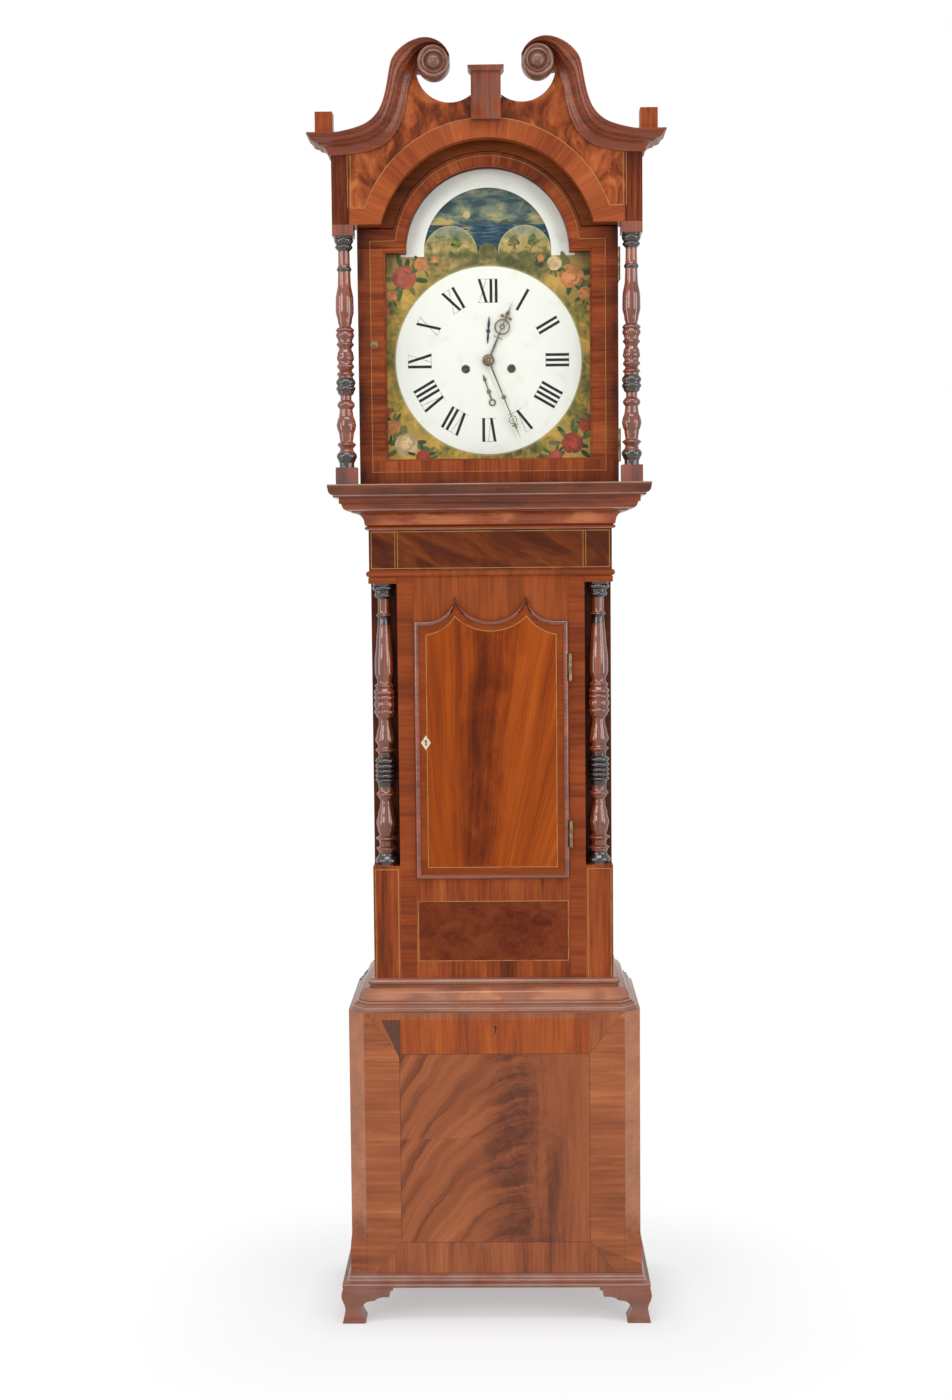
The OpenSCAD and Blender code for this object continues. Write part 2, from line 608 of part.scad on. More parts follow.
module hood_columns() {
    cx = hood_half - block_w / 2;
    color(wood) {
        for (s = [-1, 1])
            translate([s * cx, face_y + hood_p + block_w / 2, 0])
                turned_column(hood_keys, (hood_open_h - block_lo - block_hi) / 372, z_floor + block_lo);
        board_pair(hood_half - block_w, hood_half, hood_p, hood_p + block_w, z_floor, z_floor + block_lo);
        board_pair(hood_half - block_w, hood_half, hood_p, hood_p + block_w, z_ent - block_hi, z_ent);
    }
}
// Swan neck outlines: the upper and lower edges of the left neck, heights above the cornice foot.
kx = hood_half / 251;
neck_upper = [[-251, 30], [-238, 30.1], [-225, 32.5], [-209, 36.4], [-193.3, 42.4], [-182, 50], [-172.2, 61],
    [-165.7, 73.3], [-160.7, 89], [-157.3, 104.4], [-155, 117], [-153, 128], [-149.5, 141], [-142.3, 152],
    [-131, 162.5], [-117, 170.5], [-101, 175], [-86, 174], [-72, 167.5], [-62.6, 158], [-57.2, 147.7]];
boss_x = -83;
boss_z = 139.7;
function on_boss(a, e = 0) = [boss_x, boss_z] + (rosette_r + 2 * fit_gap + e) * [cos(a), sin(a)];
neck_lower = concat([[-251, 0], [-236, 0.6], [-221, 1.4], [-202, 3.8], [-184, 8], [-170, 13.5], [-159, 20.5],
    [-150, 30], [-142.5, 41], [-137, 53], [-133, 65], [-129.5, 79], [-127, 93], [-124.8, 106],
    [-119, 121]], [on_boss(178, 2.8), on_boss(154, 1)],
    [for (a = [126, 96, 66, 34]) on_boss(a, 0.3)]);
neck_u = spline(neck_upper, 3);
neck_l = spline(neck_lower, 3);
crown_prof = concat([[0, 0], [0, 4]],
    [for (i = [0:7]) let (t = 90 * i / 7) [0.03 + 0.42 * sin(t), 4.5 + 13.5 * (1 - cos(t))]],
    [[0.47, 19], [0.53, 19], [0.55, 21]],
    [for (i = [0:6]) let (t = 90 * i / 6) [0.57 + 0.22 * (1 - cos(t)), 21.5 + 9.5 * sin(t)]],
    [[0.81, 31], [0.83, 33]],
    [for (i = [1:4]) let (t = 90 * i / 4) [0.83 + 0.09 * sin(t), 33 + 3 * (1 - cos(t))]],
    [[1, 36], [1, 0]]);
ko = cornice_out / 36;
kc = len(crown_prof);
neck_pts = [for (i = [0:len(neck_u) - 1]) for (q = crown_prof)
    let (s = neck_l[i] + q[0] * (neck_u[i] - neck_l[i]))
    [kx * s[0] - (i == 0 ? q[1] * ko : 0), face_y + hood_p - q[1] * ko, z_cor + s[1]]];
module swan_neck() {
    polyhedron(points = neck_pts, faces = ring_faces(len(neck_u), kc), convexity = 10);
}
module swan_neck_left() {
    color(wood)
        swan_neck();
}
module swan_neck_right() {
    color(wood)
        mirror([1, 0, 0])
            swan_neck();
}
rosette_prof = [[0, 0], [rosette_r, 0], [rosette_r, 31], [rosette_r - 1, 33.5], [rosette_r - 3, 34.5],
    [rosette_r - 5, 33.5], [rosette_r - 6, 31.5], [rosette_r - 7, 31], [rosette_r - 8, 32.5],
    [rosette_r - 10, 33], [rosette_r - 12, 31], [rosette_r - 13, 29.5], [12, 29.5], [11.5, 32.5],
    [9.5, 35.5], [6, 37.6], [0, 38.5]];
rosette_k = cornice_out / 38.5;
module rosettes() {
    color(wood)
        for (s = [-1, 1])
            translate([-s * kx * boss_x, face_y + hood_p, z_cor + boss_z])
                rotate([90, 0, 0])
                    rotate_extrude()
                        polygon([for (q = rosette_prof) [q[0], q[1] * rosette_k]]);
}
// Board behind the swan necks: arch, two round cuts, the middle block's notch and an ear behind each rosette.
cut_x = 58;
cut_dz = 136;
cut_r = 54;
notch_w = 24.5;
notch_dz = 88;
ear_r = 16;
cut_a0 = 185;
cut_a1 = 360 - acos((cut_x - notch_w) / cut_r);
tymp_line = [for (i = [0:38]) let (s = neck_l[i] + 0.8 * (neck_u[i] - neck_l[i])) [kx * s[0], z_cor + s[1]]];
tymp_left = concat([[-hood_half, z_ent]], tymp_line,
    [[-130 * kx, z_cor + 152]],
    [for (a = [95:-19:-95]) [kx * boss_x + ear_r * cos(a), z_cor + boss_z + ear_r * sin(a)]],
    [[-108 * kx, z_cor + 131]],
    [for (i = [0:24]) let (a = cut_a0 + (cut_a1 - cut_a0) * i / 24)
        [-cut_x * kx + cut_r * cos(a), z_cor + cut_dz + cut_r * sin(a)]],
    [[-notch_w, z_cor + notch_dz]]);
module hood_tympanum() {
    color(wood)
        plate(hood_p, 0)
            difference() {
                polygon(concat(tymp_left, mirror_x(tymp_left)));
                translate([0, arch_z])
                    circle(r = arch_r, $fn = 128);
            }
}
ent_t = hood_reach - 17;
ent_back = hood_p + block_w;
module hood_side_entablature() {
    color(wood) {
        board_pair(hood_half - ent_t, hood_half, 0, ent_back, z_ent, z_roof);
        board_pair(arch_r + 2, hood_half - ent_t, 0, hdoor_p - 0.5, z_ent, z_ent + 8);
        run_along([for (q = crown_prof) [q[1] * ko, z_cor + q[0] * cornice_h]],
                  case_path(hood_half, hood_p, ent_back), [0, 2], 0, z_cor, z_cor + cornice_h);
    }
}
module pediment_blocks() {
    color(wood) {
        for (s = [-1, 1])
            translate([s * (hood_half + 8.5), face_y + hood_p - 14.5, 0]) {
                translate([-14, -14, z_cor + 30.5])
                    cube([28, 28, 33]);
            }
        board(-24, 24, hood_p - 12, hood_p, z_cor + 53, z_cor + 128);
        board(-24, 24, hood_p, 0, z_cor + notch_dz + 0.2, z_cor + 128);
        plate(hood_p - 15, 0)
            polygon([[-24, z_cor + 128], [24, z_cor + 128], [29, z_cor + 134], [29, z_cor + 137],
                     [-29, z_cor + 137], [-29, z_cor + 134]]);
    }
}
module hood_roof() {
    color(wood) {
        board(-hood_half, hood_half, 0, ent_back, z_roof, z_roof + 8);
        board(-box_half, box_half, ent_back, case_d, z_roof, z_roof + 8);
    }
}
// Sight opening over the dial, e wider all round.
module sight(e) {
    translate([-sight_half - e, sight_z0 - e])
        square([2 * (sight_half + e), sight_z1 - sight_z0 + 2 * e]);
    intersection() {
        translate([0, dial_z])
            circle(r = sight_arch_r + e, $fn = 128);
        translate([-sight_arch_r - e, sight_z1])
            square([2 * (sight_arch_r + e), 2 * sight_arch_r]);
    }
}
module hood_mask() {
    color(wood)
        plate(mask_p, mask_p + mask_t)
            difference() {
                translate([-hood_in, z_floor])
                    square([2 * hood_in, z_roof - z_floor]);
                sight(0);
            }
    color(wood)
        plate(hdoor_p, mask_p)
            difference() {
                translate([ent_t - hood_half, z_ent])
                    square([2 * (hood_half - ent_t), z_roof - z_ent]);
                translate([0, dial_z])
                    circle(r = hdoor_arch_r + 1.2, $fn = 128);
            }
}
module hdoor_shape() {
    translate([-hdoor_half, z_floor + 1])
        square([2 * hdoor_half, hood_open_h - 3]);
    intersection() {
        translate([0, dial_z])
            circle(r = hdoor_arch_r, $fn = 128);
        translate([-hdoor_arch_r, z_floor + hood_open_h - 10])
            square([2 * hdoor_arch_r, 2 * hdoor_arch_r]);
    }
}
module hood_door() {
    color(wood) difference() {
        union() {
            plate(hdoor_p, hdoor_p + 1.6)
                difference() {
                    hdoor_shape();
                    sight(3);
                }
            plate(hdoor_p + 1.6, hdoor_p + 5)
                difference() {
                    hdoor_shape();
                    sight(0);
                }
            plate(hdoor_p + 5, hdoor_p + hdoor_t)
                difference() {
                    hdoor_shape();
                    sight(6);
                }
        }
        for (z = hh_zs)
            hood_leaf(z);
    }
}
module hood_glass() {
    color([0.8, 0.9, 0.95, 0.3])
        plate(hdoor_p + 5.1, hdoor_p + 8)
            sight(5.4);
}
knob_x = -187.5;
knob_z = z_floor + 230;
hh_x = hdoor_half + 1.2;
hh_p = hdoor_p - 2.3;
hh_r = 2.2;
hh_zs = [z_floor + 62, z_ent - 62];
// Space of the door leaf of a hood hinge, let into the door's edge.
module hood_leaf(z) {
    board(hh_x - 2.2, hh_x - 1.2, hh_p, hdoor_p + 12, z - 9, z + 9);
}
module hood_knob() {
    color(brass) {
        translate([knob_x, face_y + hdoor_p, knob_z])
            rotate([90, 0, 0])
                rotate_extrude()
                    polygon([[0, 0], [6.6, 0], [6.6, 1], [4, 1.8], [2.4, 3], [2.4, 6], [4.2, 7.5], [5.2, 9.5],
                             [4.6, 12], [2.4, 13.6], [0, 14]]);
        for (z = hh_zs) {
            knuckle(hh_x, hh_p, z - 9, z + 9, hh_r, 1.3);
            difference() {
                hood_leaf(z);
                knuckle(hh_x, hh_p, z - 12, z + 12, 1.3, 0);
            }
        }
    }
}
module hood_hinges() {
    color(brass)
        for (z = hh_zs) {
            for (s = [-1, 1]) {
                zc = z + s * 18;
                knuckle(hh_x, hh_p, zc - 8.7, zc + 8.7, hh_r, 0);
                board(hh_x - 0.7, box_half + 1.6, hh_p, mask_p + 14, zc - 8.7, zc + 8.7);
            }
            knuckle(hh_x, hh_p, z - 12, z + 12, 1.0, 0);
        }
}
// Dial plate with its arch, moon opening between two humps, winding holes and four feet.
module dial_outline() {
    translate([-dial_w / 2, cz - dial_w / 2])
        square([dial_w, dial_w]);
    intersection() {
        translate([0, dial_z])
            circle(r = dial_arch_r, $fn = 128);
        translate([-dial_arch_r, cz + dial_w / 2 - 5])
            square([2 * dial_arch_r, 2 * dial_arch_r]);
    }
}
dial_feet = [[-62, 40], [62, 40], [-62, -62], [62, -62]];
module dial_plate() {
    color(pale) {
        plate(dial_p, dial_p + dial_t)
            difference() {
                dial_outline();
                difference() {
                    intersection() {
                        translate([0, dial_z])
                            circle(r = moon_r, $fn = 128);
                        translate([-moon_r, dial_z])
                            square([2 * moon_r, moon_r + 1]);
                    }
                    for (x = [-hump_x, hump_x])
                        translate([x, dial_z])
                            circle(r = hump_r, $fn = 96);
                    translate([0, dial_z - 1])
                        circle(r = hub_r, $fn = 48);
                }
                for (s = [-1, 1])
                    translate([s * wind_x, wind_z])
                        circle(r = 6, $fn = 48);
                translate([0, cz])
                    circle(r = 6.6, $fn = 48);
                translate([0, cz + sec_dz])
                    circle(r = 2.4, $fn = 32);
                translate([0, cz + cal_dz])
                    circle(r = 2.4, $fn = 32);
            }
        for (f = dial_feet)
            rod_y(f[0], cz + f[1], 3, dial_p + dial_t, plate_p0);
        rod_y(0, dial_z, 4, dial_p + dial_t, moon_p + 3);
    }
}
// Moon disc with ratchet teeth on its rim.
moon_teeth = 118;
module moon_disc() {
    color([0.2, 0.3, 0.4])
        plate(moon_p, moon_p + 1.4)
            translate([0, dial_z])
                difference() {
                    polygon([for (i = [0:moon_teeth - 1]) for (q = [[0, 1.4], [0.15, 0]])
                        (moon_disc_r - q[1]) * [cos((i + q[0]) * 360 / moon_teeth), sin((i + q[0]) * 360 / moon_teeth)]]);
                    circle(r = 4.3, $fn = 32);
                }
}
// Hands: pierced and shaped; angles count clockwise from twelve.
hour_at = 23;
minute_at = 158;
seconds_at = 4;
calendar_at = -18;
hour_p = dial_p - 4;
minute_p = hour_p - 4;
collet_p = minute_p - 2;
pipe_r = 5;
module hand_2d(len, ring_at, ring_r, wide, hub) {
    circle(r = hub, $fn = 48);
    polygon([[-wide, 0], [wide, 0], [wide * 0.55, ring_at - ring_r + 1], [-wide * 0.55, ring_at - ring_r + 1]]);
    difference() {
        translate([0, ring_at])
            circle(r = ring_r, $fn = 48);
        translate([0, ring_at])
            circle(r = ring_r * 0.82, $fn = 48);
    }
    translate([0, ring_at])
        difference() {
            circle(r = ring_r * 0.34, $fn = 32);
            circle(r = ring_r * 0.18, $fn = 24);
        }
    for (z = [-0.9, 0.22])
        translate([-wide * 0.3, ring_at + ring_r * z])
            square([wide * 0.6, ring_r * 0.68]);
    for (s = [-1, 1])
        translate([s * ring_r * 0.55, ring_at + ring_r * 1.32])
            circle(r = ring_r * 0.2, $fn = 24);
    translate([-ring_r * 0.75, ring_at + ring_r * 1.22])
        square([ring_r * 1.5, wide * 0.6]);
    translate([-ring_r * 0.62, ring_at - ring_r * 1.5])
        square([ring_r * 1.24, wide * 0.6]);
    polygon([[-wide * 0.5, ring_at + ring_r * 0.95], [wide * 0.5, ring_at + ring_r * 0.95],
             [wide * 1.5, ring_at + ring_r * 1.9], [wide * 0.45, ring_at + ring_r * 2.2], [0, len],
             [-wide * 0.45, ring_at + ring_r * 2.2], [-wide * 1.5, ring_at + ring_r * 1.9]]);
}
module hour_hand() {
    color(brass) {
        plate(hour_p, hour_p + 1.2)
            translate([0, cz])
                rotate(-hour_at)
                    difference() {
                        hand_2d(hour_len, 59, 13, 2.3, 10);
                        circle(r = 3.6, $fn = 48);
                    }
    }
}
module minute_hand() {
    color(brass) {
        plate(minute_p, minute_p + 1.2)
            translate([0, cz])
                rotate(-minute_at)
                    difference() {
                        union() {
                            hand_2d(minute_len, 106, 7, 1.7, 8);
                            translate([0, 66])
                                circle(r = 4, $fn = 32);
                        }
                        circle(r = 2.4, $fn = 32);
                    }
        translate([0, face_y + minute_p, cz])
            rotate([90, 0, 0])
                rotate_extrude()
                    polygon([[2, 0], [7.5, 0], [6.8, 1], [4.5, 1.8], [2, 2]]);
    }
}
module seconds_hand() {
    color(steel)
        plate(dial_p - 1.5, dial_p - 0.8)
            translate([0, cz + sec_dz])
                rotate(-seconds_at)
                    union() {
                        circle(r = 3.4, $fn = 32);
                        polygon([[0.9, 0], [2.2, 12], [0, 25], [-2.2, 12], [-0.9, 0], [-1.8, -12], [0, -22], [1.8, -12]]);
                    }
}
module calendar_hand() {
    color(brass) {
        plate(dial_p - 1.5, dial_p - 0.7)
            translate([0, cz + cal_dz])
                rotate(-calendar_at)
                    difference() {
                        union() {
                            circle(r = 3.6, $fn = 32);
                            polygon([[-1, 0], [-0.9, 18], [-3, 20], [0, 30], [3, 20], [0.9, 18], [1, 0]]);
                            polygon([[-1, 0], [1, 0], [1.4, -14], [-1.4, -14]]);
                            translate([0, -19])
                                circle(r = 6, $fn = 32);
                        }
                        translate([0, -19])
                            circle(r = 3.6, $fn = 32);
                    }
        rod_y(0, cz + cal_dz, 1.8, dial_p - 0.8, dial_p + 5);
        rod_y(0, cz + cal_dz, 9, dial_p + 5, dial_p + 6.2);
    }
}
// Gears with straight sided teeth; a is the angle of one tooth.
function gear_pts(n, r, m, a) = [for (i = [0:n - 1]) for (q = [[-0.24, -1.25], [-0.17, 0], [-0.07, 0.75],
    [0.07, 0.75], [0.17, 0], [0.24, -1.25]]) (r + q[1] * m) * [cos(a + (i + q[0]) * 360 / n), sin(a + (i + q[0]) * 360 / n)]];
// Tooth angle of gear two that meshes with gear one across the direction d.
function mesh_at(a1, n1, n2, d) = d + 180 + ((d - a1) * n1 / 360 - 0.5) * 360 / n2;
module spoked(n, r, m, a, rim, hub, bore) {
    difference() {
        polygon(gear_pts(n, r, m, a));
        difference() {
            circle(r = r - rim, $fn = 64);
            circle(r = hub, $fn = 32);
            for (k = [0:1])
                rotate(45 + 90 * k)
                    translate([-r, -1.4])
                        square([2 * r, 2.8]);
        }
        circle(r = bore, $fn = 32);
    }
}
module gear_at(x, z, p0, p1) {
    plate(p0, p1)
        translate([x, z])
            children();
}
bp0 = plate_p0 + plate_t;
bp1 = plate_p1;
pivot_r = 1;
arbor_r = 1.8;
module arbor(x, z, r) {
    rod_y(x, z, r, bp0 + fit_gap, bp1 - fit_gap);
    rod_y(x, z, pivot_r, plate_p0 + 0.2, bp1 + plate_t - 0.2);
}
n_great = 96;
n_centre_pinion = 8;
great_d = norm([wind_x, wind_dz]);
great_m = 2 * great_d / (n_great + n_centre_pinion);
great_rr = great_m * n_great / 2;
great_dir = atan2(-wind_dz, -wind_x);
n_centre = 60;
n_third_pinion = 8;
third_d = norm([third_x, third_dz]);
third_m = 2 * third_d / (n_centre + n_third_pinion);
third_dir = atan2(third_dz, third_x);
n_third = 56;
n_escape_pinion = 7;
escape_dx = -third_x;
escape_dz = sec_dz - third_dz;
escape_d = norm([escape_dx, escape_dz]);
escape_m = 2 * escape_d / (n_third + n_escape_pinion);
escape_dir = atan2(escape_dz, escape_dx);
// Motion work in front of the plates.
n_cannon = 36;
n_small = 6;
n_hour = 72;
motion_d = 23.4;
motion_dir = 218;
cannon_m = motion_d / n_cannon;
small_m = 2 * motion_d / (n_small + n_hour);
motion_x = motion_d * cos(motion_dir);
motion_z = motion_d * sin(motion_dir);
hour_wheel_p = dial_p + 5.5;
cannon_p = hour_wheel_p + 5;
module great_wheel() {
    color(brass)
        gear_at(wind_x, wind_z, bp0 + 2, bp0 + 4.4)
            spoked(n_great, great_rr, great_m, 0, 6, 10, 3.4);
}
module centre_wheel() {
    a = mesh_at(0, n_great, n_centre_pinion, great_dir);
    color(brass) {
        gear_at(0, cz, bp0 + 1.4, bp0 + 6)
            polygon(gear_pts(n_centre_pinion, great_m * n_centre_pinion / 2, great_m, a));
        gear_at(0, cz, bp1 - 8, bp1 - 6.2)
            spoked(n_centre, third_m * n_centre / 2, third_m, 0, 4, 6, 0.9);
        rod_y(0, cz, 2, bp0 + 1.4, bp1 - fit_gap);
        rod_y(0, cz, 1.7, minute_p - 1.8, bp0 + 1.6);
        rod_y(0, cz, pivot_r, bp1 - 1, bp1 + plate_t - 0.2);
        gear_at(0, cz, cannon_p, cannon_p + 1.8)
            polygon(gear_pts(n_cannon, cannon_m * n_cannon / 2, cannon_m, 0));
        rod_y(0, cz, 3.2, minute_p + 1.3, cannon_p + 3);
    }
}
third_a = mesh_at(0, n_centre, n_third_pinion, third_dir);
module third_wheel() {
    color(brass) {
        arbor(third_x, cz + third_dz, arbor_r);
        gear_at(third_x, cz + third_dz, bp1 - 10, bp1 - 5)
            polygon(gear_pts(n_third_pinion, third_m * n_third_pinion / 2, third_m, third_a));
        gear_at(third_x, cz + third_dz, bp1 - 3.6, bp1 - 2)
            spoked(n_third, escape_m * n_third / 2, escape_m, 0, 4, 5, 0.9);
    }
}
escape_a = mesh_at(0, n_third, n_escape_pinion, escape_dir);
tooth_a = 45 + 3;
module escape_wheel() {
    color(brass) {
        rod_y(0, cz + sec_dz, arbor_r, bp0 + fit_gap, bp1 - fit_gap);
        rod_y(0, cz + sec_dz, pivot_r, dial_p - 0.8, bp1 + plate_t - 0.2);
        gear_at(0, cz + sec_dz, bp1 - 5, bp1 - 0.8)
            polygon(gear_pts(n_escape_pinion, escape_m * n_escape_pinion / 2, escape_m, escape_a));
        gear_at(0, cz + sec_dz, bp1 - 28, bp1 - 26.4)
            difference() {
                polygon([for (i = [0:29]) for (q = [[-0.12, escape_r - 4.6], [0, escape_r], [0.1, escape_r],
                    [0.62, escape_r - 4.4]]) q[1] * [cos(tooth_a + (i + q[0]) * 12), sin(tooth_a + (i + q[0]) * 12)]]);
                difference() {
                    circle(r = escape_r - 7, $fn = 48);
                    circle(r = 4.6, $fn = 32);
                    for (k = [0:1])
                        rotate(90 * k)
                            translate([-20, -1.2])
                                square([40, 2.4]);
                }
            }
    }
}
module minute_wheel() {
    a1 = mesh_at(0, n_cannon, n_cannon, motion_dir);
    color(brass) {
        gear_at(motion_x, cz + motion_z, cannon_p, cannon_p + 1.8)
            difference() {
                polygon(gear_pts(n_cannon, cannon_m * n_cannon / 2, cannon_m, a1));
                circle(r = 1.3, $fn = 24);
            }
        gear_at(motion_x, cz + motion_z, hour_wheel_p - 0.6, cannon_p + 0.1)
            difference() {
                polygon(gear_pts(n_small, small_m * n_small / 2, small_m, 0));
                circle(r = 0.85, $fn = 24);
            }
    }
}
hour_a = mesh_at(0, n_small, n_hour, motion_dir + 180);
module hour_wheel() {
    color(brass) {
        gear_at(0, cz, hour_wheel_p, hour_wheel_p + 1.6)
            difference() {
                spoked(n_hour, small_m * n_hour / 2, small_m, hour_a, 4, 8, 3.6);
                circle(r = 3.6, $fn = 48);
            }
        plate(hour_p + 1.2, hour_wheel_p + 0.1)
            translate([0, cz])
                difference() {
                    circle(r = pipe_r, $fn = 48);
                    circle(r = 3.6, $fn = 48);
                }
    }
}
// Barrels with flanges, arbor and winding square.
module barrel_body(x) {
    difference() {
        union() {
            rod_y(x, wind_z, barrel_r - gut_r - 0.15, bp0 + 8, bp0 + 44);
            rod_y(x, wind_z, barrel_r + 3, bp0 + 6.4, bp0 + 8);
            rod_y(x, wind_z, barrel_r + 3, bp0 + 44, bp0 + 45.6);
        }
        rod_y(x, wind_z, 2, bp0, bp0 + 50);
    }
    rod_y(x, wind_z, 3, bp0 + fit_gap, bp1 - fit_gap);
    rod_y(x, wind_z, 2.6, plate_p0 - 1, bp1 + plate_t - 0.2);
    board(x - 2.4, x + 2.4, dial_p + 3.5, plate_p0 - 0.5, wind_z - 2.4, wind_z + 2.4);
    for (k = [1, 2])
        translate([x, face_y + line_p + 2.3 * k, wind_z])
            rotate([90, 0, 0])
                rotate_extrude()
                    translate([barrel_r - 0.3, 0])
                        circle(r = gut_r, $fn = 16);
}
module going_barrel() {
    color(brass)
        barrel_body(wind_x);
}
module strike_barrel() {
    color(brass) {
        barrel_body(-wind_x);
        gear_at(-wind_x, wind_z, bp0 + 2, bp0 + 4.4)
            spoked(84, 35, 35 * 2 / 84, 2, 6, 10, 2.5);
    }
}
// Anchor with pallets, its arbor and the crutch with a fork round the pendulum rod.
anchor_p = bp1 - 28;
module anchor() {
    color(steel) {
        rod_y(0, anchor_z, arbor_r, bp0 + fit_gap, bp1 + plate_t + 3.5);
        rod_y(0, anchor_z, pivot_r, plate_p0 + 0.2, bp0 + 1);
        gear_at(0, anchor_z, anchor_p - 0.6, anchor_p + 2.2)
            union() {
                circle(r = 5, $fn = 32);
                polygon([[0, 4.5], [-21, -2.6], [-21.8, -6], [-16.6, -14.4], [-15.6, -13.8], [-16.7, -7.4], [0, -3.6],
                         [16.7, -7.4], [15.3, -14.2], [16.4, -14.8], [21.8, -6], [21, -2.6]]);
            }
        difference() {
            gear_at(0, anchor_z, bp1 + plate_t + 1.5, bp1 + plate_t + 3.5)
                union() {
                    circle(r = 5, $fn = 32);
                    polygon([[-3, 0], [3, 0], [2, -98], [-2, -98]]);
                }
        }
        board(-7, 7, bp1 + plate_t + 1.5, bp1 + plate_t + 3.5, anchor_z - 106, anchor_z - 97);
        board_pair(3.6, 6, bp1 + plate_t + 3.4, pend_p + 8, anchor_z - 104, anchor_z - 100);
    }
}
// Plates, pillars, back cock and bell post.
holes = [[wind_x, wind_dz, 3], [-wind_x, wind_dz, 3], [third_x, third_dz, 1.3], [0, sec_dz, 1.3],
         [-40, 74, 1.3]];
module movement_plates() {
    color(brass) {
        for (f = [0, 1])
            plate(f == 0 ? plate_p0 : plate_p1, (f == 0 ? plate_p0 : plate_p1) + plate_t)
                difference() {
                    translate([-plate_half, plate_z0])
                        square([2 * plate_half, plate_z1 - plate_z0]);
                    for (h = holes)
                        translate([h[0], cz + h[1]])
                            circle(r = h[2], $fn = 32);
                    translate([0, cz])
                        circle(r = f == 0 ? 4 : 1.3, $fn = 32);
                    translate([0, anchor_z])
                        circle(r = f == 0 ? 1.3 : 2.4, $fn = 32);
                }
        for (c = [[-54, -64], [54, -64], [-57, 84], [57, 84]])
            rod_y(c[0], cz + c[1], pillar_r, bp0, bp1);
        rod_y(motion_x, cz + motion_z, 0.8, hour_wheel_p - 1, plate_p0);
    }
    color(brass) {
        board(-20, 20, plate_p1 + plate_t, plate_p1 + plate_t + 3, anchor_z + 6, plate_z1);
        board(-5, 5, plate_p1 + plate_t, pend_p + 6, anchor_z + 6, anchor_z + 12);
    }
    color(steel) {
        board(52, 60, plate_p1 + plate_t, plate_p1 + plate_t + 3, plate_z1 - 30, bell_z + 36);
        board(-6, 60, plate_p1 + plate_t, plate_p1 + plate_t + 3, bell_z + 36, bell_z + 42);
        board(-6, 6, bell_p - 6, plate_p1 + plate_t + 3, bell_z + 42, bell_z + 45);
        rod_z(0, bell_p, 2, bell_z + 31, bell_z + 42.5);
    }
}
module rod_z(x, p, r, z0, z1) {
    translate([x, face_y + p, z0])
        cylinder(h = z1 - z0, r = r);
}
// Seconds pendulum.
module pendulum_rod() {
    color(steel) {
        board(-4, 4, pend_p - 0.2, pend_p + 0.2, anchor_z - 22, anchor_z + 5.7);
        board(-3, 3, pend_p - 2.5, pend_p + 2.5, anchor_z - 112, anchor_z - 20);
        rod_z(0, pend_p, 2.6, bob_z + bob_r + 3, anchor_z - 110);
        board(-2.6, 2.6, pend_p - 2.1, pend_p + 2.1, bob_z - bob_r - 9, bob_z + bob_r + 6);
        rod_z(0, pend_p, 1.9, bob_z - bob_r - 34, bob_z - bob_r - 7);
        rod_z(0, pend_p, 9, bob_z - bob_r - 8, bob_z - bob_r - fit_gap);
    }
}
// Lens shaped bob with a flat bore for the rod; each face is part of a ball.
bob_ball = (bob_r * bob_r + bob_t * bob_t / 4) / bob_t;
bob_arc = asin(bob_r / bob_ball);
function bob_pt(t, s) = [bob_ball * sin(t), s * (bob_ball * cos(t) - bob_ball + bob_t / 2)];
bob_prof = concat([for (i = [0:11]) bob_pt(bob_arc * i / 12, -1)], [[bob_r, -0.5], [bob_r, 0.5]],
                  [for (i = [11:-1:0]) bob_pt(bob_arc * i / 12, 1)]);
module pendulum_bob() {
    color(brass) difference() {
        translate([0, face_y + pend_p, bob_z])
            rotate([90, 0, 0])
                rotate_extrude($fn = 96)
                    polygon(bob_prof);
        board(-2.9, 2.9, pend_p - 2.4, pend_p + 2.4, bob_z - bob_r - 10, bob_z + bob_r + 10);
    }
}
// Bell over the plates and its hammer.
bell_prof = concat([for (i = [0:10]) let (t = 90 * i / 10) [bell_r * cos(t) * 0.94 + (i == 0 ? 2.8 : 0), 30 * sin(t)]],
                   [for (i = [10:-1:0]) let (t = 90 * i / 10) [(bell_r - 2.6) * cos(t) * 0.94 + (i == 0 ? 2 : 0), 27.6 * sin(t)]]);
module bell() {
    color(brass)
        translate([0, face_y + bell_p, bell_z])
            rotate_extrude()
                polygon(concat([for (i = [0:9]) bell_prof[i]], [[2.2, 30.6], [2.2, 28]], [for (i = [12:21]) bell_prof[i]]));
}
hammer_x = -40;
hammer_dz = 74;
hammer_z = cz + hammer_dz;
module hammer() {
    head_z = bell_z + 4;
    color(steel) {
        arbor(hammer_x, hammer_z, 1.6);
        plate(bell_p - 1.5, bell_p + 1.5)
            polygon([[hammer_x - 3, hammer_z - 3], [hammer_x + 3, hammer_z - 3], [hammer_x + 3, hammer_z + 3],
                     [-bell_r - 8, head_z], [-bell_r - 12, head_z], [hammer_x - 3, hammer_z + 3]]);
        board(-bell_r - 14, -bell_r - 6, bell_p - 5, bell_p + 5, head_z - 8, head_z + 4);
    }
}
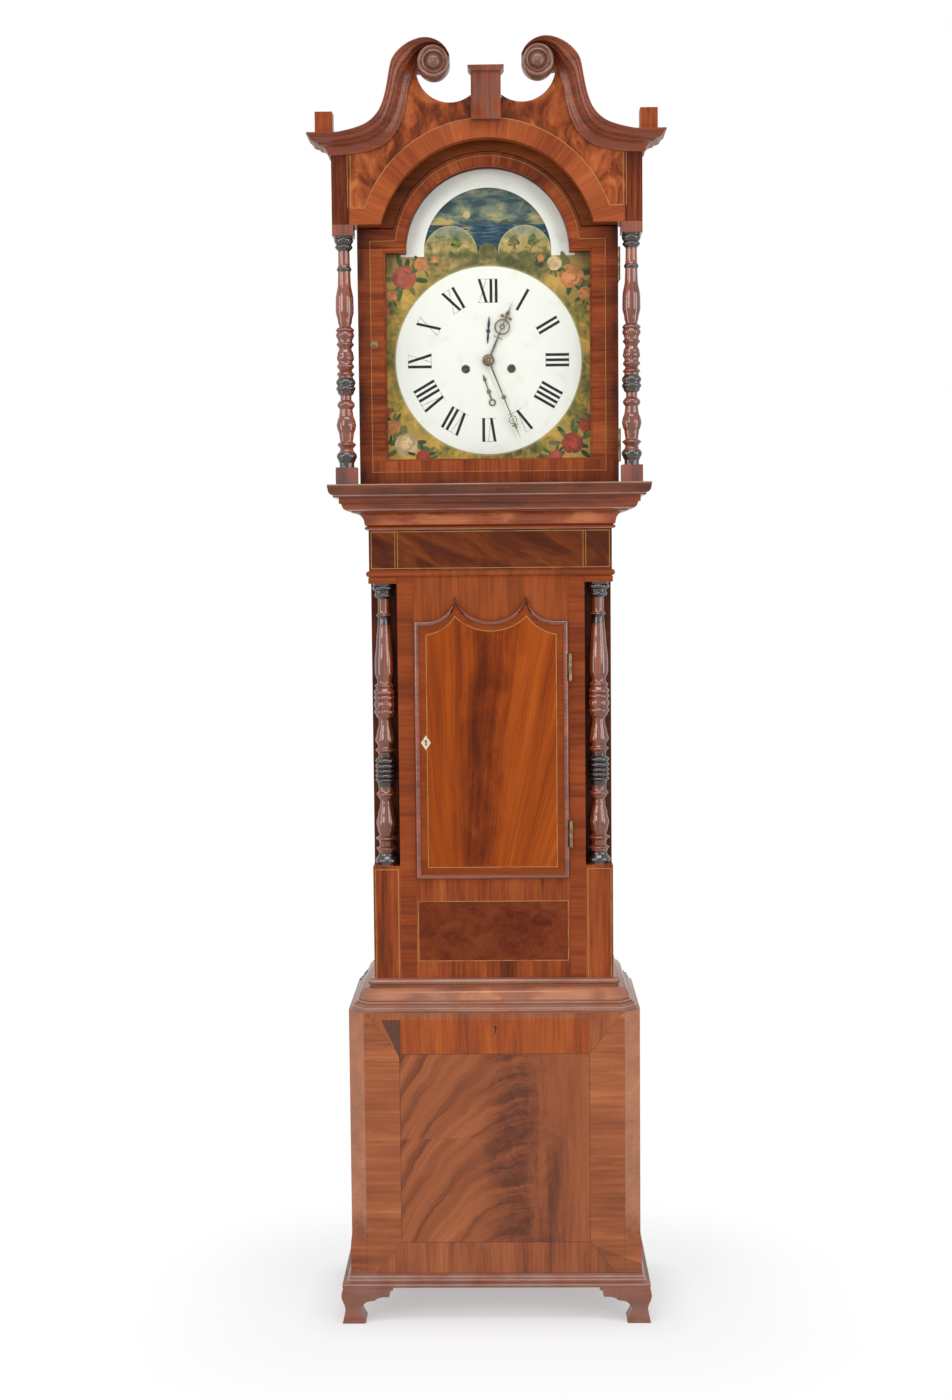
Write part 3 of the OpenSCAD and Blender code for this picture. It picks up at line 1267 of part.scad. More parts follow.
// Weights with stirrup and the loop of gut under the pulley; pulleys; gut lines.
stirrup_w = 8;
module weight_at(x) {
    zt = weight_z0 + weight_len;
    translate([x, face_y + line_p, weight_z0])
        rotate_extrude()
            polygon([[0, 0], [weight_r - 2, 0], [weight_r, 2], [weight_r, weight_len - 6],
                     [weight_r - 4, weight_len - 1], [8, weight_len], [0, weight_len]]);
    rod_z(x, line_p, 2.4, zt - 1, zt + 21);
    board(x - 5, x + 5, line_p - stirrup_w, line_p + stirrup_w, zt + 20, zt + 24);
    for (p = [line_p - stirrup_w, line_p + stirrup_w - 2])
        board(x - 5, x + 5, p, p + 2, zt + 23, zt + 66);
    rod_y(x, pulley_z0, 1.5, line_p - stirrup_w + 1, line_p + stirrup_w - 1);
    intersection() {
        translate([x, face_y + line_p, pulley_z0])
            rotate([90, 0, 0])
                rotate_extrude()
                    translate([pulley_r, 0])
                        circle(r = gut_r, $fn = 16);
        board(x - 40, x + 40, line_p - 5, line_p + 5, pulley_z0 - 40, pulley_z0);
    }
}
module going_weight() {
    color(dark)
        weight_at(pulley_x);
}
module strike_weight() {
    color(dark)
        weight_at(-pulley_x);
}
pulley_prof = [[1.8, -4], [7, -4], [7, -2.5], [pulley_r - 4, -2.5], [pulley_r - 3, -4], [pulley_r + 2.5, -4],
               [pulley_r + 2.5, -3.2], [pulley_r - 0.4, -1.5], [pulley_r - 1.2, 0], [pulley_r - 0.4, 1.5],
               [pulley_r + 2.5, 3.2], [pulley_r + 2.5, 4], [pulley_r - 3, 4], [pulley_r - 4, 2.5], [7, 2.5],
               [7, 4], [1.8, 4]];
module pulley_at(x) {
    difference() {
        translate([x, face_y + line_p, pulley_z0])
            rotate([90, 0, 0])
                rotate_extrude()
                    polygon(pulley_prof);
        for (k = [0:3])
            rod_y(x + 13.5 * cos(45 + 90 * k), pulley_z0 + 13.5 * sin(45 + 90 * k), 4.2, line_p - 6, line_p + 6);
    }
}
module going_pulley() {
    color(brass)
        pulley_at(pulley_x);
}
module strike_pulley() {
    color(brass)
        pulley_at(-pulley_x);
}
module gut_drop(x) {
    rod_z(x, line_p, gut_r, pulley_z0, wind_z);
}
module gut_return(x) {
    rod_z(x, line_p, gut_r, pulley_z0, plate_z0 + 1);
    rod_z(x, line_p, 3.4, plate_z0, plate_z0 + 3);
}
module going_gut_drop() {
    color(pale)
        gut_drop(line_x);
}
module going_gut_return() {
    color(pale)
        gut_return(line_x + 2 * pulley_r);
}
module strike_gut_drop() {
    color(pale)
        gut_drop(-line_x);
}
module strike_gut_return() {
    color(pale)
        gut_return(-line_x - 2 * pulley_r);
}

bracket_feet();
plinth_moulding();
base_front();
base_sides();
base_floor();
backboard();
trunk_base_moulding();
trunk_sides();
trunk_front_frame();
trunk_pedestals();
trunk_columns();
trunk_top_moulding();
seatboard();
trunk_door();
trunk_escutcheon();
trunk_hinges_case();
trunk_hinges_door();
hood_base_frame();
hood_sides();
hood_columns();
hood_tympanum();
hood_side_entablature();
swan_neck_left();
swan_neck_right();
rosettes();
pediment_blocks();
hood_roof();
hood_mask();
hood_door();
hood_glass();
hood_knob();
hood_hinges();
dial_plate();
moon_disc();
hour_hand();
minute_hand();
seconds_hand();
calendar_hand();
movement_plates();
going_barrel();
strike_barrel();
great_wheel();
centre_wheel();
third_wheel();
escape_wheel();
minute_wheel();
hour_wheel();
anchor();
pendulum_rod();
pendulum_bob();
bell();
hammer();
going_weight();
strike_weight();
going_pulley();
strike_pulley();
going_gut_drop();
going_gut_return();
strike_gut_drop();
strike_gut_return();
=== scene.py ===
"""Looks of the longcase clock: veneers, stringing, turned columns, painted dial, brass and studio."""

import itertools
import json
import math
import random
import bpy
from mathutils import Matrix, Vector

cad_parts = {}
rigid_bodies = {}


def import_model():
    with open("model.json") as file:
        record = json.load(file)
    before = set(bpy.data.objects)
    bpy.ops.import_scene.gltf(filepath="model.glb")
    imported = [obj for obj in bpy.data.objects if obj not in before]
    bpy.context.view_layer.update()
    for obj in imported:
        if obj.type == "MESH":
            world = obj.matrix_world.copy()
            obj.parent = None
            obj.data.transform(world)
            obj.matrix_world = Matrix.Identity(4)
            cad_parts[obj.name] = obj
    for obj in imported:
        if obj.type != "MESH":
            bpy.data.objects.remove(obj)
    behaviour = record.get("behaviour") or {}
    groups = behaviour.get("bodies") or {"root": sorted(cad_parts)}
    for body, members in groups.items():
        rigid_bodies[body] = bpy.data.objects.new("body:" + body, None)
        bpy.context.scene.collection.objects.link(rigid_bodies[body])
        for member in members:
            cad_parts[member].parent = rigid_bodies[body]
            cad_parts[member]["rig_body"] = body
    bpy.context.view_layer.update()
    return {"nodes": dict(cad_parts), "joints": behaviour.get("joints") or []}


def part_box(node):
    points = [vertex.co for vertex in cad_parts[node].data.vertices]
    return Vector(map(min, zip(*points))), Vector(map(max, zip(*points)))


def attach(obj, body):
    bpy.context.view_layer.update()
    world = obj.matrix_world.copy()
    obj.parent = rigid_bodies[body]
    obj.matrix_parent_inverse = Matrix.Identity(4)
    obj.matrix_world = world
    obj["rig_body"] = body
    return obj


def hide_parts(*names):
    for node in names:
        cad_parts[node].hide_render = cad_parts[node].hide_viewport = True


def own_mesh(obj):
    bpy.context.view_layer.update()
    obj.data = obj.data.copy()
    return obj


bl_info = {
    "name": "Longcase Clock",
    "version": (1, 0, 0),
    "blender": (4, 5, 0),
    "location": "3D View > Sidebar > Clock",
    "description": "Dresses the longcase clock in veneer, paint and brass and sets its studio",
    "category": "Object",
}

import bmesh
import bpy
from bpy.props import FloatProperty, FloatVectorProperty, IntProperty, PointerProperty
from mathutils import Matrix, Vector

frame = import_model()
MM = 0.001


def low(node):
    """Lowest corner of a CAD node, in millimetres."""
    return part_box(node)[0] / MM


def high(node):
    """Highest corner of a CAD node, in millimetres."""
    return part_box(node)[1] / MM


# Places and half widths of the case, read from the frame in millimetres.
FACE_Y = low("base_front").y
BASE_Z0 = low("base_front").z
BASE_Z1 = high("base_front").z
BASE_HALF = high("base_front").x
TRUNK_Z0 = low("trunk_front_frame").z
TRUNK_HALF = high("trunk_pedestals").x
PEDESTAL_Z1 = high("trunk_pedestals").z
TRUNK_Z1 = high("trunk_front_frame").z
DOOR_HALF = high("trunk_door").x
DOOR_Z0 = low("trunk_door").z
DOOR_Z1 = high("trunk_door").z
HOOD_Z0 = high("hood_base_frame").z
FRIEZE_Z0 = low("hood_tympanum").z
DIAL_HALF = high("dial_plate").x
DIAL_FRONT = low("dial_plate").y
DOOR_BACK = high("trunk_door").y

# Heights of the hood's arch, the moon's axis and the hands' axis.
ARCH_Z = FRIEZE_Z0 - 42
DIAL_Z = FRIEZE_Z0 - 37
CENTRE_Z = DIAL_Z - DIAL_HALF + 1.5

# Width of the base's canted corners, front face of the trunk and inner edge of its column recesses.
CANT = 28
TRUNK_FRONT = FACE_Y + 39.4
RECESS_X = 157

# Top of the trunk door: place and height of its cusps, radii of the hollows between them and beside them,
# and the width of its flat shoulders.
CUSP_X = 60.0
CUSP_H = 41
MIDDLE_R = 65.0
SIDE_R = 53.0
SHOULDER = 12.0

# Dial: the moon's opening, the two humps that cover part of it, and the winding holes.
MOON_R = 105.0
HUMP_X = 61.0
HUMP_R = 44.0
WINDING_X = 38.0
WINDING_Z = CENTRE_Z - 13.7


class ClockSettings(bpy.types.PropertyGroup):
    """Sizes and colours of the finishes."""

    string_half: FloatProperty(
        name="Stringing",
        description="Half width of the inlaid boxwood lines, in mm",
        default=0.62, min=0.3, max=2.0,
    )
    polish: FloatProperty(
        name="Polish",
        description="Strength of the polish over the veneer",
        default=0.04, min=0.0, max=1.0, subtype="FACTOR",
    )
    band: FloatProperty(
        name="Crossbanding",
        description="Width of the crossbanded border of the base, in mm",
        default=59.0, min=20.0, max=90.0,
    )
    numeral_outer: FloatProperty(
        name="Numeral radius",
        description="Radius of the outer ends of the hour numerals, in mm",
        default=133.5, min=110.0, max=145.0,
    )
    numeral_height: FloatProperty(
        name="Numeral height",
        description="Height of the hour numerals, in mm",
        default=39.0, min=20.0, max=50.0,
    )
    white_radius: FloatProperty(
        name="White disc",
        description="Radius of the white disc of the dial, in mm",
        default=154.0, min=140.0, max=165.0,
    )
    rose_seed: IntProperty(
        name="Flower layout",
        description="Seed of the painted sprays",
        default=5, min=0, max=99,
    )
    string_colour: FloatVectorProperty(
        name="Boxwood",
        description="Colour of the inlaid lines",
        default=(0.40, 0.215, 0.075), min=0.0, max=1.0, subtype="COLOR",
    )
    dial_white: FloatVectorProperty(
        name="Dial white",
        description="Colour of the dial's white paint",
        default=(0.92, 0.94, 0.86), min=0.0, max=1.0, subtype="COLOR",
    )
    ink: FloatVectorProperty(
        name="Ink",
        description="Colour of the hour numerals",
        default=(0.012, 0.013, 0.014), min=0.0, max=1.0, subtype="COLOR",
    )


def settings():
    """The settings of this scene."""
    return bpy.context.scene.clock_settings


def rgba(colour):
    """Three or four numbers as a colour with its alpha."""
    return (*tuple(colour)[:3], 1.0)


class Wire:
    """One output of a node. Sums and products on it add Math nodes."""

    def __init__(self, pen, socket):
        self.pen = pen
        self.socket = socket

    def __add__(self, other):
        return self.pen.math("ADD", self, other)

    def __radd__(self, other):
        return self.pen.math("ADD", other, self)

    def __sub__(self, other):
        return self.pen.math("SUBTRACT", self, other)

    def __rsub__(self, other):
        return self.pen.math("SUBTRACT", other, self)

    def __mul__(self, other):
        return self.pen.math("MULTIPLY", self, other)

    def __rmul__(self, other):
        return self.pen.math("MULTIPLY", other, self)

    def __truediv__(self, other):
        return self.pen.math("DIVIDE", self, other)

    def __neg__(self):
        return self.pen.math("MULTIPLY", self, -1.0)

    def __abs__(self):
        return self.pen.math("ABSOLUTE", self)


class Pen:
    """Draws the nodes of a material or world. Patterns lie in millimetres of the clock's own space."""

    def __init__(self, name, world=None):
        self.end = "OutputWorld" if world else "OutputMaterial"
        self.material = world or bpy.data.materials.new(name)
        self.material.use_nodes = True
        self.tree = self.material.node_tree
        self.tree.nodes.clear()
        where = self.node("TexCoord", out="Object")
        split = self.node("SeparateXYZ", inputs={0: where})
        outs = split.socket.node.outputs
        self.x = Wire(self, outs[0]) * 1000.0
        self.y = Wire(self, outs[1]) * 1000.0
        self.z = Wire(self, outs[2]) * 1000.0

    def node(self, kind, settings=None, inputs=None, out=0):
        """Adds a node: its settings first, then the values or links of its sockets."""
        made = self.tree.nodes.new("ShaderNode" + kind)
        for key, value in (settings or {}).items():
            if key == "stops":
                self.set_stops(made.color_ramp, value)
            else:
                setattr(made, key, value)
        for key, value in (inputs or {}).items():
            if isinstance(value, Wire):
                self.tree.links.new(value.socket, made.inputs[key])
            else:
                made.inputs[key].default_value = value
        return Wire(self, made.outputs[out])

    @staticmethod
    def set_stops(ramp, stops):
        """Gives a colour ramp its stops."""
        while len(ramp.elements) < len(stops):
            ramp.elements.new(0.5)
        for element, (place, colour) in zip(ramp.elements, stops):
            element.position = place
            element.color = rgba(colour)

    def math(self, operation, *values):
        """A Math node."""
        return self.node("Math", {"operation": operation}, dict(enumerate(values)))

    def least(self, *values):
        """The smallest of several."""
        found = values[0]
        for value in values[1:]:
            found = self.math("MINIMUM", found, value)
        return found

    def most(self, *values):
        """The largest of several."""
        found = values[0]
        for value in values[1:]:
            found = self.math("MAXIMUM", found, value)
        return found

    def rise(self, value, start, end):
        """0 below start, 1 above end, smooth between them."""
        kind = {"interpolation_type": "SMOOTHSTEP"}
        return self.node("MapRange", kind, {0: value, 1: start, 2: end, 3: 0.0, 4: 1.0})

    def within(self, distance, soft=0.3):
        """1 inside an outline, 0 outside it."""
        return 1.0 - self.rise(distance, -soft, soft)

    def stroke(self, distance, half, soft=0.25):
        """1 on a line that follows an outline."""
        return 1.0 - self.rise(abs(distance), half - soft, half + soft)

    def box(self, x, z, x0, x1, z0, z1):
        """Distance to the outline of an upright rectangle, negative inside."""
        across = abs(x - (x0 + x1) / 2) - (x1 - x0) / 2
        up = abs(z - (z0 + z1) / 2) - (z1 - z0) / 2
        return self.most(across, up)

    def disc(self, x, z, cx, cz, radius):
        """Distance to a circle, negative inside."""
        dx = x - cx
        dz = z - cz
        return self.math("SQRT", dx * dx + dz * dz) - radius

    def noise(self, place, detail=3.0, rough=0.55, bend=0.0):
        """Soft noise between 0 and 1 at a place given by three numbers."""
        where = self.node("CombineXYZ", inputs=dict(enumerate(place)))
        inputs = {"Vector": where, "Scale": 1.0, "Detail": detail, "Roughness": rough, "Distortion": bend}
        return self.node("TexNoise", {"noise_dimensions": "3D"}, inputs)

    def mottle(self, rate, detail=3.0, rough=0.55):
        """Soft noise that changes at the same rate in all three directions."""
        return self.noise((self.x * rate, self.y * rate, self.z * rate), detail, rough)

    def ramp(self, value, stops):
        """Colour of a value along its stops."""
        return self.node("ValToRGB", {"stops": stops}, {0: value})

    def mix(self, factor, a, b):
        """Two colours mixed."""
        a = a if isinstance(a, Wire) else rgba(a)
        b = b if isinstance(b, Wire) else rgba(b)
        return self.node("Mix", {"data_type": "RGBA"}, {0: factor, 6: a, 7: b}, out=2)

    def bump(self, height, depth, strength=0.5):
        """Surface normal from a height between 0 and 1 whose full depth is given in mm."""
        return self.node("Bump", inputs={"Strength": strength, "Distance": depth * MM, "Height": height})

    def backdrop_rays(self):
        """1 for the rays that see the white backdrop: straight from the camera, mirrored or through glass."""
        rays = self.node("LightPath").socket.node.outputs
        names = ("Is Camera Ray", "Is Glossy Ray", "Is Transmission Ray")
        return self.most(*(Wire(self, rays[name]) for name in names))

    def surface(self, **sockets):
        """The closing shader. Keys are socket names with _ for spaces."""
        inputs = {}
        for key, value in sockets.items():
            name = key.replace("_", " ")
            if not isinstance(value, (Wire, float)):
                value = rgba(value)
            inputs[name] = value
        shader = self.node("BsdfPrincipled", inputs=inputs)
        return self.close(shader)

    def close(self, shader):
        """Joins a shader to the output."""
        end = self.tree.nodes.new("ShaderNode" + self.end)
        self.tree.links.new(shader.socket, end.inputs[0])
        return self.material


# Browns of old polished mahogany, from the darkest figure to the palest.
BASE = [
    (0.20, (0.044, 0.016, 0.009)),
    (0.38, (0.128, 0.034, 0.014)),
    (0.53, (0.268, 0.073, 0.025)),
    (0.68, (0.370, 0.110, 0.038)),
    (0.88, (0.520, 0.200, 0.080)),
]
WARM = [
    (0.22, (0.034, 0.009, 0.005)),
    (0.40, (0.140, 0.028, 0.009)),
    (0.53, (0.262, 0.055, 0.015)),
    (0.66, (0.345, 0.084, 0.024)),
    (0.86, (0.500, 0.160, 0.055)),
]
RED = [
    (0.22, (0.016, 0.005, 0.004)),
    (0.40, (0.090, 0.019, 0.008)),
    (0.54, (0.215, 0.044, 0.014)),
    (0.68, (0.330, 0.080, 0.024)),
    (0.88, (0.480, 0.150, 0.055)),
]
ORANGE = [
    (0.20, (0.060, 0.011, 0.004)),
    (0.38, (0.170, 0.030, 0.006)),
    (0.54, (0.300, 0.056, 0.007)),
    (0.70, (0.410, 0.092, 0.012)),
    (0.90, (0.540, 0.160, 0.028)),
]
DARK = [
    (0.22, (0.018, 0.005, 0.003)),
    (0.42, (0.070, 0.017, 0.007)),
    (0.58, (0.152, 0.036, 0.009)),
    (0.74, (0.240, 0.062, 0.014)),
    (0.90, (0.320, 0.090, 0.032)),
]


class Timber:
    """Mahogany along one direction: its tone value and the height of its pores."""

    def __init__(self, pen, along, across, deep, seed=0.0, wave=6.0, contrast=1.25):
        drift = pen.noise((along * 0.006 + seed, across * 0.01, deep * 0.01), 2.0) - 0.5
        bent = across + drift * wave
        broad = pen.noise((bent * 0.03, deep * 0.03, along * 0.0035 + seed))
        streak = pen.noise((bent * 0.22, deep * 0.22, along * 0.009 + seed), 4.0, 0.6)
        fine = pen.noise((bent * 1.3, deep * 1.3, along * 0.03 + seed), 3.0, 0.65)
        self.tone = (broad * 0.50 + streak * 0.36 + fine * 0.20 - 0.53) * contrast + 0.53
        self.pores = pen.rise(fine, 0.30, 0.46)


def upright_grain(pen, seed, contrast=1.25):
    """Mahogany whose grain stands upright."""
    return Timber(pen, pen.z, pen.x, pen.y, seed=seed, contrast=contrast)


def level_grain(pen, seed, contrast=1.25):
    """Mahogany whose grain runs across the front."""
    return Timber(pen, pen.x, pen.z, pen.y, seed=seed, wave=3.0, contrast=contrast)


def polished(pen, colour, pores, rough=0.22, shine=0.08):
    """Closes a material as french polished wood; mouldings take a lower rough and a higher shine."""
    dull = pen.mottle(0.02, 4.0, 0.6)
    return pen.surface(
        Base_Color=colour,
        Roughness=dull * 0.18 + rough,
        Coat_Weight=settings().polish,
        Coat_Roughness=0.20,
        Specular_IOR_Level=shine,
        Normal=pen.bump(pores, 0.08, 0.2),
    )


def seam(pen, colour, lines, depth=0.6):
    """Darkens a colour along the joints between veneers."""
    return pen.mix(lines * depth, colour, (0.018, 0.006, 0.004))


def strung(pen, colour, lines):
    """Lays boxwood stringing, worn in places, over a colour."""
    worn = pen.mottle(0.03, 2.0)
    keep = pen.rise(worn, 0.30, 0.48) * 0.55 + 0.40
    return pen.mix(lines * keep, colour, settings().string_colour)


def dress(material, *nodes):
    """Gives CAD nodes one material."""
    for name in nodes:
        held = frame["nodes"][name].data.materials
        if len(held) == 0:
            held.append(material)
        for i in range(len(held)):
            held[i] = material


def plain_wood(name, stops, seed, lift, level=False):
    """Wood without inlay, its grain upright or level."""
    pen = Pen(name)
    along, across = (pen.x, pen.z) if level else (pen.z, pen.x)
    wood = Timber(pen, along, across, pen.y, seed=seed)
    return polished(pen, pen.ramp(wood.tone + lift, stops), wood.pores)


def block_veneer():
    """Pediment blocks; the middle one is greyed by dust."""
    pen = Pen("block_veneer")
    wood = upright_grain(pen, 97.0)
    cloud = pen.noise((pen.x * 0.05, 1.0, pen.z * 0.03), 4.0, 0.6)
    middle = 1.0 - pen.rise(abs(pen.x), 60.0, 62.0)
    dusty = middle * pen.rise(cloud, 0.30, 0.60) * 0.55
    tone = wood.tone + 0.04 - middle * 0.06
    return polished(pen, pen.mix(dusty, pen.ramp(tone, RED), (0.15, 0.082, 0.068)), wood.pores)


def flame_figure(pen, join_z, upright):
    """Tone of the base's field: a flame of two leaves that join at a height, fading into plain grain."""
    x, z = pen.x, pen.z
    leaf = pen.rise(z, join_z - 1, join_z + 1)
    drop = pen.most(58.0 - x, 0.0)
    sweep = z - leaf * 150.0 + drop * drop * 0.0042
    ripple = pen.noise((x * 0.012, z * 0.012, 4.0)) * 46.0
    flame = pen.noise(((sweep + ripple) * 0.034, x * 0.003, 9.0), 4.0, 0.62)
    fine = pen.noise(((sweep + ripple) * 0.21, x * 0.008, 2.0), 3.0, 0.6)
    left = pen.rise(-x, -84.0, -30.0)
    cloud = pen.noise((x * 0.014, z * 0.011, 1.5), 5.0, 0.60, 0.9)
    knots = pen.noise((x * 0.038, z * 0.030, 5.5), 6.0, 0.64, 1.6)
    core = pen.rise(74.0 - abs(x - 56.0 + (cloud - 0.5) * 60.0), -16.0, 50.0)
    swirl = core * (pen.rise(knots, 0.30, 0.72) * 0.09 + pen.rise(cloud, 0.30, 0.70) * 0.07 + 0.045)
    figure = left * (flame * 0.80 + fine * 0.30) + (1.0 - left) * (upright.tone * 0.6 + 0.26) - swirl
    return figure, fine


def base_veneer():
    """Base front: flame field in a crossbanded border with mitred corners."""
    pen = Pen("base_flame_veneer")
    x, z = pen.x, pen.z
    cant_x = BASE_HALF - CANT
    field_half = cant_x - settings().band
    z0, z1 = BASE_Z0 + 54, BASE_Z1 - 70
    band_z1 = BASE_Z1 - 11
    field = pen.box(x, z, -field_half, field_half, z0, z1)
    inside = pen.within(field, 0.5)
    upright = upright_grain(pen, 3.1)
    level = level_grain(pen, 7.7)
    figure, fine = flame_figure(pen, (z0 + z1) / 2 + 17, upright)

    # Border: level grain at the sides, cut in sheets that differ a little, and upright grain above and below.
    out_x = abs(x) - field_half
    out_z = pen.most(z0 - z, z - z1)
    past_mitre = out_x - out_z * 0.8
    side = pen.rise(past_mitre, -0.5, 0.5)
    sheet = pen.math("FLOOR", z * 0.0105 + pen.math("SIGN", x) * 0.4)
    block = pen.noise((pen.math("SIGN", x) * 10.0, sheet * 7.4, 1.0), 0.0)
    border = side * (level.tone + 0.06) + (1.0 - side) * (upright.tone + 0.03) + (block - 0.5) * 0.20 * side
    colour = pen.ramp(inside * figure + (1.0 - inside) * border, BASE)
    top_band = pen.within(pen.box(x, z, -field_half, field_half, z1, band_z1), 0.5)
    colour = pen.mix(top_band * 0.92, colour, pen.ramp(upright.tone + 0.02, ORANGE))

    # Repairs and wear: a patch low at the right and a corner at the upper left. Also painted light: a keyhole
    # painted near black as the shade in its hole, and cants paled by a painted highlight.
    patch = pen.rise(x, 170.0, 172.0) * pen.within(z - (z0 - 8) + (x - 171.0) * 0.4, 1.0)
    colour = pen.mix(patch * 0.35, colour, (0.075, 0.022, 0.012))
    corner_x = x + 158.0
    slant = -corner_x - (z - (BASE_Z1 - 81)) * 0.464
    corner = pen.most(corner_x, z - band_z1, slant)
    colour = pen.mix(pen.within(corner, 0.8) * (0.55 + fine * 0.5), colour, (0.050, 0.028, 0.022))
    # Keyhole: no hole is cut; it is painted near black as the shade inside it.
    hole_z = BASE_Z1 - 24
    hole = pen.least(pen.disc(x, z, 2.0, hole_z, 2.4), pen.box(x, z, 0.9, 3.1, hole_z - 10, hole_z))
    colour = pen.mix(pen.within(hole, 0.4) * 0.85, colour, (0.010, 0.006, 0.005))
    # Painted highlight: the canted corners are paled as though they mirrored the side light, fading out
    # towards the bottom.
    cant_highlight = pen.rise(abs(x), cant_x - 0.5, cant_x + 0.5) * pen.rise(z, BASE_Z0 + 70, BASE_Z0 + 110)
    colour = pen.mix(cant_highlight * 0.30, colour, (0.56, 0.29, 0.18))
    lines = pen.stroke(field, 0.6) + pen.stroke(abs(x) - cant_x, 0.5) * 0.6
    mitre = pen.stroke(past_mitre, 0.5) * pen.rise(out_x, -0.2, 0.4) * pen.rise(out_z, -0.2, 0.4)
    colour = seam(pen, colour, pen.least(lines + mitre, 1.0), 0.55)
    scuff = pen.rise(pen.mottle(0.05, 5.0, 0.7), 0.72, 0.80)
    colour = pen.mix(scuff * 0.35, colour, (0.42, 0.24, 0.14))
    return polished(pen, colour, upright.pores, rough=0.18, shine=0.24)


def arc_centre(a, b, radius):
    """Centre of the arc from a to b that hangs below its chord."""
    half = (b - a) / 2
    up = Vector((-half.y, half.x)).normalized()
    if up.y < 0:
        up = -up
    return a + half + up * math.sqrt(radius**2 - half.length_squared)


def door_outline(pen, border):
    """Distance to the trunk door's outline drawn in by a border, negative inside."""
    x, z = pen.x, pen.z
    half = DOOR_HALF - border
    flat = DOOR_Z1 - CUSP_H - border
    cusp = Vector((CUSP_X, flat + 28.0))
    middle_r = MIDDLE_R + border
    middle_z = cusp.y + math.sqrt(middle_r**2 - CUSP_X**2)
    side_r = SIDE_R + border
    side = arc_centre(Vector((half - SHOULDER, flat)), cusp, side_r)
    body = pen.box(x, z, -half, half, DOOR_Z0 + border, cusp.y)
    middle = -pen.disc(x, z, 0.0, middle_z, middle_r)
    hollow = -pen.disc(abs(x), z, side.x, side.y, side_r)
    shoulder = pen.least(z - flat, abs(x) - (half - SHOULDER))
    return pen.most(body, middle, hollow, shoulder)


def trunk_door_veneer():
    """Trunk door: feathered panel, string line and crossbanded edge."""
    pen = Pen("trunk_door_veneer")
    x, z = pen.x, pen.z
    outline = door_outline(pen, 20)
    inside = pen.within(outline, 0.5)
    upright = upright_grain(pen, 11.0)
    level = level_grain(pen, 1.9)

    # Feather: grain that fans out upwards from a dark core that leans to the right.
    up = z - DOOR_Z0
    off = x + 28.0 - up * 0.07
    drift = (pen.noise((x * 0.012, z * 0.006, 2.2)) - 0.5) * 50.0
    fan = off / (up * 0.0020 + 0.78) + drift * 0.25
    feather = pen.noise((fan * 0.045, z * 0.0016, 6.0))
    fine = pen.noise((fan * 0.40, z * 0.004, 1.0), 4.0, 0.6)
    hair = pen.noise((fan * 1.6, z * 0.01, 3.0), 3.0, 0.6)
    cloud = pen.noise((x * 0.026, z * 0.015, 8.0), 6.0, 0.64, 0.7)
    core = pen.rise(44.0 - abs(off + drift * 1.1), -44.0, 40.0)
    dark = core * (pen.rise(cloud, 0.34, 0.70) * 0.13 + 0.055)
    tone = feather * 0.62 + fine * 0.32 + hair * 0.34 - 0.105 - dark
    colour = pen.ramp(inside * tone + (1.0 - inside) * level.tone, ORANGE)
    colour = pen.mix(pen.within(-outline, 0.5) * 0.55, colour, (0.165, 0.034, 0.011))
    colour = strung(pen, colour, pen.stroke(outline, settings().string_half))
    inner = pen.rise(pen.y, DOOR_BACK - 2.0, DOOR_BACK - 1.0)
    colour = pen.mix(inner, colour, pen.ramp(upright.tone - 0.04, BASE))
    return polished(pen, colour, upright.pores, shine=0.06)


def front_face(pen):
    """1 on the front face of the trunk, 0 in its recesses."""
    return pen.rise(-pen.y, -TRUNK_FRONT - 0.2, 0.2 - TRUNK_FRONT)


